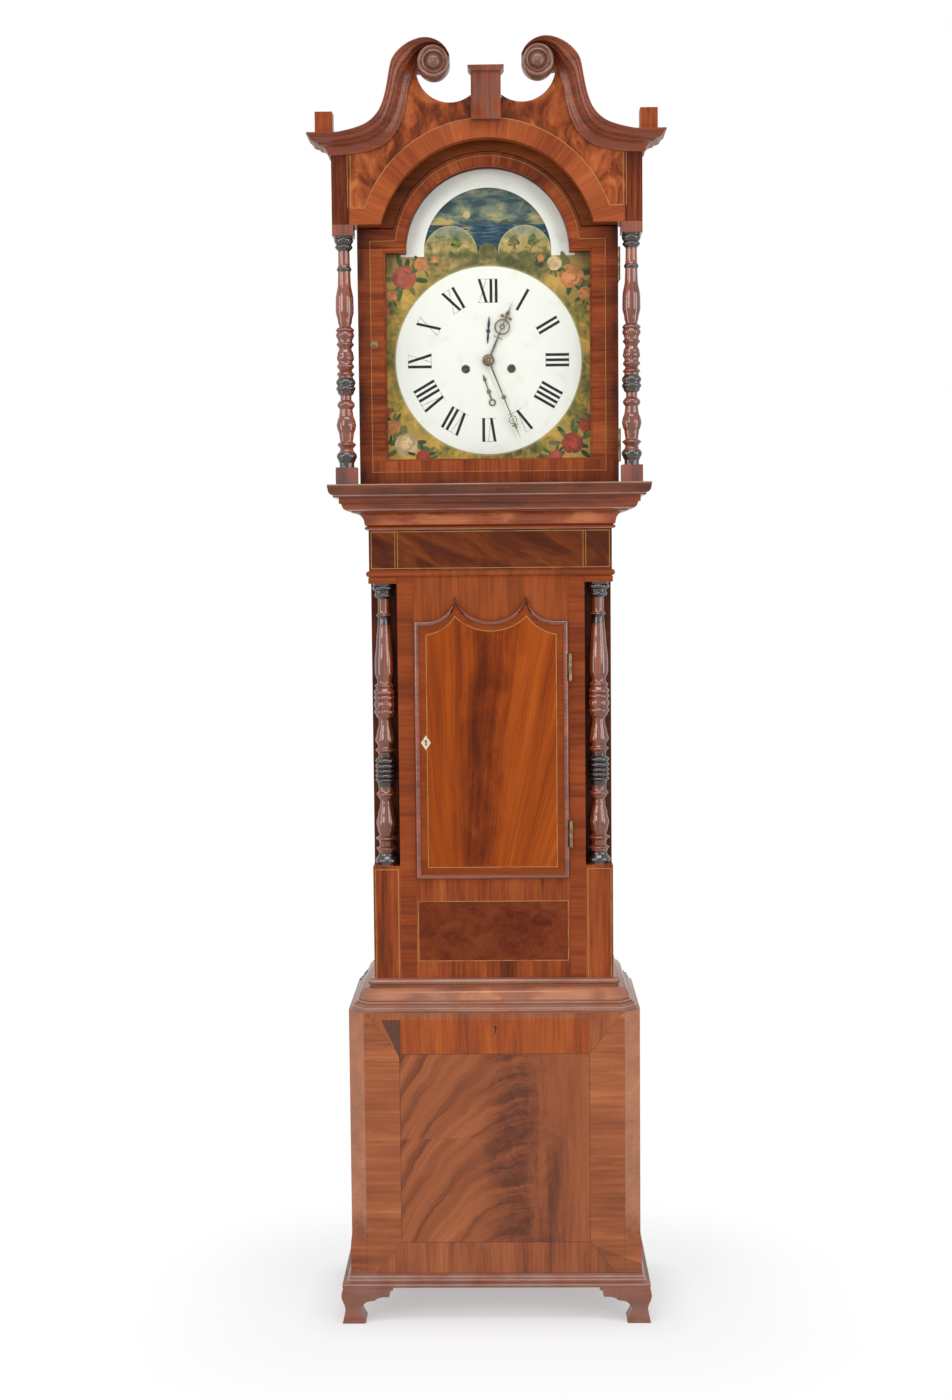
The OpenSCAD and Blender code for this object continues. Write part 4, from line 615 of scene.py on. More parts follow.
def trunk_frame_veneer():
    """Trunk front: frieze with its inlaid lines, stiles and the small burr panel."""
    pen = Pen("trunk_front_veneer")
    x, z = pen.x, pen.z
    front = front_face(pen)
    upright = upright_grain(pen, 21.0)
    level = level_grain(pen, 14.0, 0.75)
    stile = pen.rise(abs(x), DOOR_HALF + 1, DOOR_HALF + 2)
    above = pen.rise(z, DOOR_Z1 - 45, DOOR_Z1 - 44)
    tone = stile * (level.tone - 0.03) + (1.0 - stile) * upright.tone
    colour = pen.ramp(tone - 0.02, WARM)
    colour = pen.mix(above * (1.0 - stile) * 0.30, colour, (0.30, 0.080, 0.020))
    panel = pen.box(x, z, -127.0, 127.0, TRUNK_Z0 + 29, TRUNK_Z0 + 131)
    burr_a = pen.noise((x * 0.035, 3.0, z * 0.045), 6.0, 0.66, 1.4)
    burr_b = pen.noise((x * 0.016, 7.0, z * 0.02), 4.0, 0.55, 0.8)
    burr = pen.ramp(burr_a * 0.6 + burr_b * 0.5 - 0.03, WARM)
    burr = pen.mix(0.55, burr, (0.070, 0.010, 0.003))
    colour = pen.mix(pen.within(panel, 0.5), colour, burr)
    frieze_z0 = TRUNK_Z1 - 67
    frieze = pen.rise(z, frieze_z0, frieze_z0 + 0.6)
    ends = pen.rise(abs(x), RECESS_X - 1, RECESS_X)
    crotch = pen.noise(((x + z * 1.4) * 0.022, 2.0, z * 0.02), 5.0, 0.6, 0.7)
    dark = pen.ramp(crotch * 1.15 + level.tone * 0.25 - 0.20 - ends * 0.05, DARK)
    dark = pen.mix(0.25, dark, (0.16, 0.034, 0.011))
    colour = pen.mix(frieze, colour, dark)
    colour = seam(pen, colour, pen.stroke(abs(x) - (DOOR_HALF + 1.5), 0.4) * (1.0 - frieze) * 0.7)
    half = settings().string_half
    border = pen.box(x, z, -199.0, 199.0, frieze_z0 + 3, TRUNK_Z1 - 3)
    ribs = pen.most(*(pen.stroke(abs(x) - rib_x, half * 0.8) for rib_x in (RECESS_X + 2.5, RECESS_X - 2)))
    frieze_lines = pen.most(pen.stroke(border, half) * frieze, ribs * frieze * pen.within(border))
    colour = strung(pen, colour, pen.most(pen.stroke(panel, half), frieze_lines) * front)
    # Painted shade: all that lies behind the front face, the column recesses above all, is darkened.
    colour = pen.mix((1.0 - front) * 0.6, colour, (0.020, 0.008, 0.005))
    return polished(pen, colour, upright.pores)


def pedestal_veneer():
    """Blocks under the trunk columns, edged with a string line."""
    pen = Pen("pedestal_veneer")
    wood = upright_grain(pen, 31.0)
    colour = pen.ramp(wood.tone + 0.02, WARM)
    outline = pen.box(abs(pen.x), pen.z, RECESS_X + 3.5, TRUNK_HALF - 3.5, TRUNK_Z0 - 40, PEDESTAL_Z1 - 6)
    colour = strung(pen, colour, pen.stroke(outline, settings().string_half) * front_face(pen))
    return polished(pen, colour, wood.pores)


def tympanum_veneer():
    """Hood front: crossbanded arch, mottled fields and their inlaid lines."""
    pen = Pen("tympanum_veneer")
    x, z = pen.x, pen.z
    post_x = 220.0
    arch = pen.disc(x, z, 0.0, ARCH_Z, 209.0)
    foot = z - (FRIEZE_Z0 + 26)
    angle = pen.math("ARCTAN2", x, z - ARCH_Z) * 190.0
    radial = Timber(pen, arch, angle, pen.y, seed=41.0, wave=2.0, contrast=0.9)
    upright = upright_grain(pen, 44.0)
    mottle_a = pen.noise((abs(x + 6.0) * 0.020, 1.0, z * 0.016), 5.0, 0.6, 1.3)
    mottle_b = pen.noise((x * 0.06, 5.0, z * 0.02), 4.0, 0.6, 0.6)
    field = pen.ramp(mottle_a * 1.75 + mottle_b * 0.70 - 0.66, RED)
    field = pen.mix(0.22, field, (0.30, 0.072, 0.020))
    in_band = pen.most(pen.within(arch, 0.5), pen.within(foot, 0.5))
    colour = pen.mix(in_band, field, pen.ramp(radial.tone + 0.08, RED))
    outside = pen.rise(abs(x), post_x + 2, post_x + 3)
    colour = pen.mix(outside, colour, pen.ramp(upright.tone - 0.08, RED))
    seam_z = FRIEZE_Z0 + 165
    colour = seam(pen, colour, pen.stroke(abs(x) - 26.0, 0.4) * pen.rise(z, seam_z, seam_z + 1) * 0.6)
    half = settings().string_half
    above = pen.rise(foot, -0.5, 0.5)
    ring = pen.stroke(arch, half * 0.9) * above
    base_line = pen.stroke(foot, half) * pen.rise(arch, -0.5, 0.5) * pen.within(abs(x) - post_x)
    posts = pen.most(*(pen.stroke(abs(x) - line_x, half * 0.7) for line_x in (post_x, post_x + 5)))
    lines = pen.most(ring, base_line, posts * above * pen.within(z - (FRIEZE_Z0 + 116)))
    colour = strung(pen, colour, lines)
    return polished(pen, colour, upright.pores)


def hood_door_veneer():
    """Hood door: crossbanded frame with a string line round the dial opening."""
    pen = Pen("hood_door_veneer")
    x, z = pen.x, pen.z
    arch_r = 150.0
    opening = pen.box(x, z, -192.6, 192.6, HOOD_Z0 + 21, FRIEZE_Z0 - 21)
    outline = pen.least(opening, pen.disc(x, z, 0.0, DIAL_Z, arch_r + 1))
    level = level_grain(pen, 51.0)
    upright = upright_grain(pen, 53.0)
    angle = pen.math("ARCTAN2", x, z - DIAL_Z) * arch_r
    radial = Timber(pen, pen.disc(x, z, 0.0, DIAL_Z, arch_r), angle, pen.y, seed=57.0, wave=2.0)
    arch = pen.rise(z, DIAL_Z + 3, DIAL_Z + 4)
    rails = pen.rise(-z, -(HOOD_Z0 + 40), -(HOOD_Z0 + 39))
    tone = arch * radial.tone + (1.0 - arch) * (rails * upright.tone + (1.0 - rails) * level.tone)
    colour = pen.ramp(tone + 0.03, RED)
    colour = pen.mix(pen.within(-outline, 0.5) * 0.45, colour, (0.085, 0.018, 0.008))
    # Painted shade: dark patches along the outer sides and the bottom of the door, where the columns and the
    # sill meet it.
    edge_shade_patches = pen.rise(pen.noise((x * 0.02, 2.0, z * 0.012), 4.0, 0.6), 0.40, 0.64)
    edges = pen.most(pen.rise(abs(x), 196.0, 209.0), pen.rise(-z, -(HOOD_Z0 + 14), -HOOD_Z0))
    colour = pen.mix(edges * edge_shade_patches * 0.75, colour, (0.030, 0.010, 0.007))
    colour = strung(pen, colour, pen.stroke(outline, settings().string_half * 0.8) * 0.85)
    return polished(pen, colour, level.pores)


def moulding_wood(name, stops, seed, lift, dust, shine, contrast=1.0, glow=(), highlight_rims=()):
    """Mouldings with grain along their length.

    Glow holds bands of height with a painted highlight where the gain is positive and painted shade where it
    is negative: bottom, top, half width and gain.
    Rims are the heights of edges that carry a painted highlight line.
    """
    pen = Pen(name)
    around = pen.x + pen.y * 0.8
    wood = Timber(pen, around, pen.z * 1.6, pen.y * 0.3, seed=seed, wave=3.0, contrast=contrast)
    tone = wood.tone + lift
    # Bands of painted highlight or painted shade, broken up in patches.
    for z0, z1, half, gain in glow:
        patch = pen.noise((pen.x * 0.012, pen.y * 0.01, pen.z * 0.02))
        inside = pen.rise(pen.z, z0 - 2, z0 + 2) * (1.0 - pen.rise(pen.z, z1 - 2, z1 + 2))
        across = 1.0 - pen.rise(abs(pen.x), half * 0.75, half)
        tone = tone + inside * across * pen.rise(patch, 0.36, 0.56) * gain
    grey = pen.rise(pen.noise((pen.x * 0.02, pen.y * 0.02, pen.z * 0.03), 2.0, 0.5), 0.10, 0.75)
    colour = pen.mix(grey * dust, pen.ramp(tone, stops), (0.26, 0.155, 0.125))
    # Painted highlight lines along the edges at the given heights.
    for height in highlight_rims:
        edge = pen.stroke(pen.z - height, 0.9, 0.7)
        colour = pen.mix(edge * (grey * 0.45 + 0.30), colour, (0.50, 0.33, 0.27))
    return polished(pen, colour, wood.pores, 0.14, shine)


def turned_wood(name, bands, seed):
    """Turned columns; bands are the heights between which the wood is ebonised."""
    pen = Pen(name)
    wood = upright_grain(pen, seed)
    colour = pen.ramp(wood.tone - 0.04, RED)
    soft = 0.8
    black = 0.0
    for z0, z1 in bands:
        above, below = (pen.rise(pen.z, edge - soft, edge + soft) for edge in (z0, z1))
        black = above * (1.0 - below) + black
    worn = pen.mottle(0.12, 4.0, 0.65)
    black = black * (1.0 - pen.rise(worn, 0.50, 0.70) * 0.6)
    colour = pen.mix(black, colour, (0.018, 0.013, 0.012))
    return pen.surface(Base_Color=colour, Roughness=worn * 0.03 + 0.12, Specular_IOR_Level=0.85)


# Ebonised bands of the columns: heights over the pedestals and over the hood's sill.
TRUNK_BANDS = ((2, 22), (134, 190), (408, 424), (452, 479))
HOOD_BANDS = ((28, 52), (148, 174), (345, 352), (376, 401))


def raw_pine():
    """Unpolished pine of the hidden boards."""
    pen = Pen("raw_pine")
    wood = Timber(pen, pen.z, pen.x, pen.y, seed=61.0, wave=18.0)
    stops = [(0.25, (0.13, 0.058, 0.022)), (0.5, (0.33, 0.165, 0.066)), (0.8, (0.50, 0.30, 0.145))]
    grain = pen.bump(wood.pores, 0.15, 0.4)
    return pen.surface(
        Base_Color=pen.ramp(wood.tone, stops), Roughness=0.78, Specular_IOR_Level=0.08, Normal=grain
    )


def metal(name, bright, dull, rough, scale=0.06, amount=0.5):
    """Old metal in two tones of tarnish."""
    pen = Pen(name)
    speck = pen.mottle(0.9, 3.0, 0.6)
    tarnish = pen.rise(pen.mottle(scale, 5.0, 0.65) * 0.75 + speck * 0.25, 0.40, 0.66) * amount
    return pen.surface(
        Base_Color=pen.mix(tarnish, bright, dull),
        Metallic=1.0,
        Roughness=tarnish * 0.25 + (rough + speck * 0.08),
        Normal=pen.bump(speck, 0.03, 0.25),
    )


def winding_metal():
    """Brass barrels on steel arbors, whose squares stand dark in the winding holes."""
    pen = Pen("barrel_brass")
    speck = pen.mottle(0.5, 4.0, 0.6)
    steel = pen.within(pen.y - (DIAL_FRONT + 14.0), 0.5)
    brass = pen.mix(speck, (0.58, 0.41, 0.17), (0.36, 0.24, 0.10))
    colour = pen.mix(steel, brass, (0.13, 0.12, 0.11))
    return pen.surface(Base_Color=colour, Metallic=1.0, Roughness=speck * 0.16 + 0.24)


def cast_iron():
    """Iron of the weights, pitted and rusty in places."""
    pen = Pen("cast_iron")
    pit = pen.mottle(0.4, 5.0, 0.7)
    colour = pen.mix(pen.rise(pit, 0.5, 0.7) * 0.5, (0.035, 0.036, 0.038), (0.11, 0.06, 0.04))
    return pen.surface(Base_Color=colour, Roughness=0.5, Metallic=0.4, Normal=pen.bump(pit, 0.4, 0.5))


def bone_inlay():
    """Yellowed bone of the keyhole plate."""
    pen = Pen("bone_inlay")
    cloud = pen.noise((pen.x * 0.3, pen.y, pen.z * 0.3), 4.0)
    colour = pen.mix(pen.rise(cloud, 0.4, 0.7) * 0.5, (0.66, 0.58, 0.42), (0.38, 0.28, 0.16))
    return pen.surface(Base_Color=colour, Roughness=0.4)


def dial_paint():
    """Painted dial: worn white disc and arch band, garden scenes at the corners and on the two humps."""
    pen = Pen("dial_paint")
    x, z = pen.x, pen.z
    disc = pen.disc(x, z, 0.0, CENTRE_Z, settings().white_radius)
    craze = pen.noise((x * 0.03, 1.0, z * 0.03), 6.0, 0.7)
    stain = pen.rise(craze, 0.52, 0.80)
    white = pen.mix(stain * 0.5, settings().dial_white, (0.62, 0.58, 0.44))
    rub = pen.noise((x * 0.25, 4.0, z * 0.25), 4.0, 0.7)
    white = pen.mix(pen.rise(rub, 0.70, 0.80) * 0.25, white, (0.42, 0.38, 0.28))
    mist = pen.noise((x * 0.016, 2.0, z * 0.016), 4.0, 0.6, 0.4)
    leaf = pen.noise((x * 0.07, 6.0, z * 0.07), 5.0, 0.65, 0.5)
    garden = pen.ramp(
        mist * 0.55 + leaf * 0.45,
        [
            (0.26, (0.014, 0.022, 0.008)),
            (0.38, (0.070, 0.085, 0.022)),
            (0.47, (0.260, 0.210, 0.040)),
            (0.57, (0.620, 0.370, 0.070)),
            (0.74, (0.820, 0.560, 0.200)),
        ],
    )
    upper = pen.rise(z, CENTRE_Z + 100, CENTRE_Z + 176)
    shade = [(0.30, (0.008, 0.020, 0.012)), (0.50, (0.060, 0.080, 0.035)), (0.70, (0.300, 0.280, 0.150))]
    garden = pen.mix(upper * 0.75, garden, pen.ramp(mist * 0.5 + leaf * 0.5, shade))
    warm = pen.disc(abs(x), abs(z - CENTRE_Z), 138.0, 136.0, 30.0)
    garden = pen.mix(pen.within(warm, 26.0) * 0.62, garden, (0.74, 0.44, 0.11))
    edge = pen.stroke(disc - 1.2, 1.3, 0.6)
    colour = pen.mix(pen.within(disc, 0.6), garden, white)
    colour = pen.mix(edge * 0.55, colour, (0.45, 0.40, 0.20))
    ring = pen.disc(x, z, 0.0, DIAL_Z, MOON_R)
    band = pen.rise(ring, -0.5, 0.5) * pen.rise(z, DIAL_Z + 1.5, DIAL_Z + 2.5)
    shoulder = pen.within(pen.box(abs(x), z, MOON_R, MOON_R + 38.5, DIAL_Z - 6, DIAL_Z + 3), 0.5)
    flake = pen.rise(pen.noise((x * 0.16, 9.0, z * 0.16), 6.0, 0.75), 0.645, 0.675)
    old = pen.mix(flake * 0.85, white, (0.10, 0.09, 0.07))
    colour = pen.mix(pen.most(band, shoulder), colour, old)
    for side in (-1, 1):
        hump = pen.disc(x, z, side * HUMP_X, DIAL_Z, HUMP_R)
        sky = pen.rise(z, DIAL_Z + 12, DIAL_Z + 40)
        scene = pen.ramp(
            leaf * 0.85 + mist * 0.55 - 0.20,
            [
                (0.26, (0.030, 0.050, 0.016)),
                (0.42, (0.150, 0.160, 0.040)),
                (0.54, (0.420, 0.320, 0.100)),
                (0.70, (0.640, 0.460, 0.210)),
            ],
        )
        scene = pen.mix(sky * 0.55, scene, (0.20, 0.30, 0.26))
        scene = pen.mix(pen.stroke(hump + 1.0, 0.9, 0.4) * 0.8, scene, (0.50, 0.44, 0.20))
        colour = pen.mix(pen.within(hump, 0.4) * pen.rise(z, DIAL_Z - 4, DIAL_Z + 4), colour, scene)
    return pen.surface(
        Base_Color=colour,
        Roughness=0.34 + craze * 0.16,
        Specular_IOR_Level=0.15,
        Normal=pen.bump(craze, 0.05, 0.2),
    )


def moon_paint():
    """Moon disc: a calm bay at dusk, once each way up, and a moon on a night sky behind each hump."""
    pen = Pen("moon_paint")
    x = pen.x
    z = abs(pen.z - DIAL_Z)
    cloud = pen.noise((x * 0.013, 2.0, z * 0.034), 5.0, 0.6, 0.5)
    sky = pen.ramp(
        cloud * 1.25 + z * 0.0026 - 0.27,
        [
            (0.28, (0.420, 0.360, 0.160)),
            (0.40, (0.580, 0.400, 0.110)),
            (0.50, (0.200, 0.240, 0.160)),
            (0.62, (0.035, 0.075, 0.085)),
            (0.82, (0.012, 0.026, 0.034)),
        ],
    )
    swell = pen.noise((x * 0.05, 1.0, z * 0.35), 4.0, 0.6)
    waves = [(0.36, (0.006, 0.022, 0.045)), (0.54, (0.022, 0.070, 0.110)), (0.68, (0.130, 0.230, 0.250))]
    shore_z, sun_x = 46.0, -34.0
    colour = pen.mix(pen.within(z - shore_z, 0.8), sky, pen.ramp(swell, waves))
    isle = pen.within(z - (shore_z + 1) - (pen.noise((x * 0.05, 3.0, 0.0)) - 0.4) * 30.0, 0.6)
    isle = isle * pen.within(abs(x - 38.0) - 32.0, 6.0) * pen.rise(z, shore_z - 1, shore_z + 0.5)
    colour = pen.mix(isle * 0.85, colour, (0.035, 0.055, 0.030))
    sun = pen.disc(x, z, sun_x, shore_z + 16, 6.0)
    colour = pen.mix(pen.within(sun, 1.2) * 0.8, colour, (0.62, 0.50, 0.24))
    glade = pen.within(abs(x - sun_x) - 7.0, 5.0) * pen.within(z - (shore_z - 1), 1.0)
    glade = glade * pen.rise(swell, 0.44, 0.60)
    colour = pen.mix(glade * 0.7, colour, (0.50, 0.40, 0.20))
    from_moon = pen.disc(abs(x), z, HUMP_X, 0.0, 24.5)
    stars = pen.noise((x * 0.32, 2.24, z * 0.32), 1.0, 0.3)
    night = pen.mix(pen.rise(stars, 0.71, 0.75), (0.005, 0.012, 0.030), (0.60, 0.48, 0.20))
    night = pen.mix(pen.within(from_moon, 0.5), night, (0.62, 0.52, 0.30))
    colour = pen.mix(pen.within(pen.disc(abs(x), z, HUMP_X, 0.0, HUMP_R - 1.5), 0.5), colour, night)
    return pen.surface(Base_Color=colour, Roughness=0.42, Specular_IOR_Level=0.2)


def tinted_paint():
    """Brush work that takes its colour from the piece."""
    pen = Pen("brush_paint")
    tint = pen.node("Attribute", {"attribute_name": "tint", "attribute_type": "GEOMETRY"}, out="Color")
    brush = pen.noise((pen.x * 0.5, 1.0, pen.z * 0.5), 4.0, 0.6)
    colour = pen.mix(pen.rise(brush, 0.35, 0.70) * 0.45, tint, (0.05, 0.045, 0.02))
    return pen.surface(Base_Color=colour, Roughness=0.45, Specular_IOR_Level=0.2)


def ink_paint(name, colour, wear):
    """Black of the numerals, rubbed thin in places."""
    pen = Pen(name)
    rub = pen.noise((pen.x * 0.35, 1.0, pen.z * 0.35), 4.0, 0.7)
    faded = pen.mix(pen.rise(rub, wear, wear + 0.14) * 0.85, colour, settings().dial_white)
    return pen.surface(Base_Color=faded, Roughness=0.45, Specular_IOR_Level=0.2)


def window_glass():
    """Thin old glass."""
    pen = Pen("old_glass")
    rough = 0.05 + pen.noise((pen.x * 0.006, 1.0, pen.z * 0.006), 2.0) * 0.02
    return pen.surface(Base_Color=(0.10, 0.11, 0.11), Roughness=rough, Alpha=0.05, Specular_IOR_Level=0.5)


def new_piece(name, bm, body, slot, *materials):
    """Turns a bmesh in millimetres into a piece that rides on a body."""
    bmesh.ops.transform(bm, matrix=Matrix.Scale(MM, 4), verts=bm.verts)
    bmesh.ops.recalc_face_normals(bm, faces=bm.faces)
    mesh = bpy.data.meshes.new(name)
    bm.to_mesh(mesh)
    bm.free()
    piece = bpy.data.objects.new(name, mesh)
    bpy.context.collection.objects.link(piece)
    for material in materials:
        mesh.materials.append(material)
    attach(piece, body)
    return piece


def crease(bm, degrees):
    """Keeps the edges sharp where faces meet at more than an angle."""
    for edge in bm.edges:
        edge.smooth = edge.calc_face_angle(0.0) < math.radians(degrees)


def smooth_copy(material, *nodes):
    """Stands for CAD nodes of curved section: their merged meshes, shaded smooth between the creases."""
    for name in nodes:
        source = frame["nodes"][name]
        bm = bmesh.new()
        bm.from_mesh(source.data)
        bmesh.ops.remove_doubles(bm, verts=bm.verts, dist=0.02 * MM)
        for face in bm.faces:
            face.smooth = True
        crease(bm, 34.0)
        bmesh.ops.transform(bm, matrix=Matrix.Scale(1 / MM, 4), verts=bm.verts)
        piece = new_piece(name + "_finish", bm, source["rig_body"], "mahogany", material)
        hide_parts(name)
    return piece


# The way in which the axes of a pair of turned pieces run, as the index of a coordinate.
DEPTH = 1
HEIGHT = 2


def turned_copy(material, node, way, foot=0.0, head=0.0):
    """A smooth copy of a pair of turned pieces, shaded straight away from their axes.

    Foot and head are the lengths at the two ends that aren't round.
    """
    mesh = smooth_copy(material, node).data
    lo, hi = low(node), high(node)
    third = 3 - way
    reach = hi.x - (hi[third] - lo[third]) / 2
    middle = (lo[third] + hi[third]) / 2
    shades = []
    for corner, normal in zip(mesh.loops, mesh.corner_normals):
        place = mesh.vertices[corner.vertex_index].co / MM
        arm = Vector((place.x - math.copysign(reach, place.x), 0.0, 0.0))
        arm[third] = place[third] - middle
        shade = Vector(normal.vector)
        flat = shade.copy()
        flat[way] = 0.0
        if lo[way] + foot < place[way] < hi[way] - head and arm.length > 0.5:
            spread = math.copysign(flat.length, flat.dot(arm))
            shade = arm.normalized() * spread + (shade - flat)
        shades.append(shade)
    mesh.normals_split_custom_set(shades)


# Each letter: its width, and for each stroke the places of its two ends and its thickness.
STEM = 4.6
HAIR = 1.0
STROKES = {
    "I": (8.6, [(0.0, 0.0, STEM)]),
    "V": (18.0, [(-5.6, 0.6, STEM), (5.6, 0.9, HAIR)]),
    "X": (18.5, [(-6.0, 6.0, STEM), (6.0, -6.0, HAIR)]),
}
HOURS = ["XII", "I", "II", "III", "IIII", "V", "VI", "VII", "VIII", "IX", "X", "XI"]


def add_bar(bm, top_x, low_x, width, height, turn, radius, lift, index):
    """One stroke of a numeral, slanted between its two ends."""
    shear = Matrix.Identity(4)
    shear[0][2] = (top_x - low_x) / height
    middle = Matrix.Translation(((top_x + low_x) / 2, 0.0, radius))
    size = Matrix.Diagonal((width, 0.12, height, 1.0))
    place = Matrix.Translation((0.0, DIAL_FRONT - lift, CENTRE_Z)) @ turn @ middle @ shear @ size
    made = bmesh.ops.create_cube(bm, size=1.0, matrix=place)
    for vert in made["verts"]:
        for face in vert.link_faces:
            face.material_index = index


def build_numerals():
    """Twelve hour numerals whose feet point to the centre; the hair strokes are nearly worn off."""
    bm = bmesh.new()
    height = settings().numeral_height
    radius = settings().numeral_outer - height / 2
    for hour, word in enumerate(HOURS):
        turn = Matrix.Rotation(math.radians(30 * hour), 4, "Y")
        total = sum(STROKES[letter][0] for letter in word)
        start = -total / 2
        for letter in word:
            width, strokes = STROKES[letter]
            centre = start + width / 2
            start += width
            for top_x, low_x, thick in strokes:
                lift, index = (0.05, 1) if thick == HAIR else (0.09, 0)
                add_bar(bm, centre + top_x, centre + low_x, thick, height, turn, radius, lift, index)
        for end in (-1, 1):
            add_bar(bm, 0.0, 0.0, total - 1.5, 0.7, turn, radius + end * (height / 2 - 0.35), 0.03, 1)
    black = ink_paint("numeral_ink", settings().ink, 0.66)
    faint = ink_paint("numeral_hair_ink", (0.16, 0.16, 0.15), 0.46)
    return new_piece("dial_numerals", bm, "case", "painted_dial", black, faint)


def add_petal(bm, layer, x, z, length, width, angle, tint, order):
    """One brush stroke: a flat leaf shape that lies on the dial."""
    made = bmesh.ops.create_circle(bm, cap_ends=True, segments=10, radius=1.0)
    place = (
        Matrix.Translation((x, DIAL_FRONT - 0.03 - 0.002 * order, z))
        @ Matrix.Rotation(angle, 4, "Y")
        @ Matrix.Rotation(math.radians(90), 4, "X")
        @ Matrix.Diagonal((length, width, 1.0, 1.0))
    )
    bmesh.ops.transform(bm, matrix=place, verts=made["verts"])
    for face in {face for vert in made["verts"] for face in vert.link_faces}:
        for loop in face.loops:
            loop[layer] = (*tint, 1.0)


# Each rose of a corner: its place from the hands' axis, and its size.
ROSES = ((138, 137, 21), (110, 158, 13), (160, 108, 13), (88, 166, 7), (168, 84, 7))
# Each ring of petals: its share of the rose's size, and its count.
PETAL_RINGS = ((0.72, 9), (0.50, 8), (0.30, 6), (0.10, 3))
ROSE_TINTS = [(0.46, 0.06, 0.03), (0.70, 0.28, 0.09), (0.80, 0.58, 0.30), (0.56, 0.12, 0.07)]
LEAF_TINTS = [(0.030, 0.070, 0.020), (0.080, 0.130, 0.030), (0.160, 0.170, 0.045)]


def build_sprays():
    """Painted sprays of roses and leaves in the four corners, and small trees on the humps."""
    bm = bmesh.new()
    layer = bm.loops.layers.float_color.new("tint")
    rng = random.Random(settings().rose_seed)
    rim = settings().white_radius
    order = 0
    spots = []
    for sx in (-1, 1):
        for sz in (-1, 1):
            for cx, cz, size in ROSES:
                spots.append((sx * cx, CENTRE_Z + sz * cz, size * rng.uniform(0.88, 1.05), rng.randrange(4)))
    for x, z, size, tone in spots:
        for _ in range(9):
            angle = rng.uniform(0, 2 * math.pi)
            reach = size * rng.uniform(0.9, 1.7) * 0.9
            px, pz = x + math.cos(angle) * reach, z + math.sin(angle) * reach
            past_edge = abs(px) > DIAL_HALF - 12 or abs(pz - CENTRE_Z) > DIAL_HALF - 10
            if past_edge or math.hypot(px, pz - CENTRE_Z) < rim + 7:
                continue
            order += 1
            add_petal(bm, layer, px, pz, size * 0.55, size * 0.2, -angle, rng.choice(LEAF_TINTS), order)
        away = math.hypot(x, z - CENTRE_Z)
        if away < rim + size:
            size = max(5.0, away - rim - 1)
        for ring, count in PETAL_RINGS:
            for k in range(count):
                angle = 2 * math.pi * (k + rng.random() * 0.4) / count
                gain = rng.uniform(0.65, 1.25) * (1.15 - ring * 0.35)
                px, pz = x + math.cos(angle) * size * ring, z + math.sin(angle) * size * ring
                tint = tuple(min(1.0, c * gain) for c in ROSE_TINTS[tone])
                order += 1
                add_petal(bm, layer, px, pz, size * 0.34, size * 0.22, math.pi / 2 - angle, tint, order)
    for side, cx in ((-1, 52.0), (1, 74.0), (1, 44.0)):
        foot = DIAL_Z + rng.uniform(4.0, 9.0)
        order += 1
        add_petal(bm, layer, side * cx, foot + 3.0, 5.0, 0.8, math.pi / 2, (0.10, 0.05, 0.02), order)
        for k in range(26):
            lean = rng.uniform(-1.0, 1.0)
            x = side * cx + lean * (8.5 - k * 0.18)
            z = foot + 7.0 + k * 0.55 - abs(lean) * 2.0
            tint = tuple(c * rng.uniform(0.8, 1.9) for c in rng.choice(LEAF_TINTS))
            length, width, angle = rng.uniform(1.8, 3.4), rng.uniform(1.4, 2.4), rng.uniform(0.0, 3.0)
            order += 1
            add_petal(bm, layer, x, z, length, width, angle, tint, order)
    return new_piece("dial_sprays", bm, "case", "painted_dial", tinted_paint())


def ring_band(bm, x, z, inner, outer, front, back):
    """A flat ring round an axis along the depth, made by spinning its section."""
    corners = [(inner, front), (outer, front), (outer, back), (inner, back)]
    verts = [bm.verts.new((x + r, y, z)) for r, y in corners]
    edges = [bm.edges.new((verts[i], verts[(i + 1) % 4])) for i in range(4)]
    bmesh.ops.spin(
        bm,
        geom=verts + edges,
        cent=(x, 0.0, z),
        axis=(0.0, 1.0, 0.0),
        angle=2 * math.pi,
        steps=32,
        use_merge=True,
    )


def build_grommets():
    """Dark brass rings round the two winding holes."""
    bm = bmesh.new()
    for x in (-WINDING_X, WINDING_X):
        ring_band(bm, x, WINDING_Z, 4.2, 7.2, DIAL_FRONT - 0.5, DIAL_FRONT + 1.9)
    bmesh.ops.remove_doubles(bm, verts=bm.verts, dist=0.001)
    brass = metal("grommet_brass", (0.16, 0.12, 0.07), (0.03, 0.025, 0.02), 0.32, amount=0.9)
    return new_piece("winding_grommets", bm, "case", "brass", brass)


# Lip of the trunk door: height of its upright foot, then rise and depth of its rounded nose.
LIP_FOOT = 1.3
LIP_NOSE = 4.15
LIP_ROUND = 4.4
# Steps of the lip's inner slope down to the panel: inwards and forwards.
LIP_SLOPE = [(1.1, 0.0), (1.2, -0.2), (0.5, -0.6), (0.55, -0.1), (0.35, -1.05)]


def sagging_arc(a, b, radius, count):
    """Points of an arc from a to b that hangs below its chord."""
    centre = arc_centre(a, b, radius)
    start = math.atan2(a.y - centre.y, a.x - centre.x)
    sweep = math.atan2(b.y - centre.y, b.x - centre.x) - start
    sweep = (sweep + math.pi) % (2 * math.pi) - math.pi
    angles = [start + sweep * i / count for i in range(count + 1)]
    return [centre + Vector((math.cos(t), math.sin(t))) * radius for t in angles]


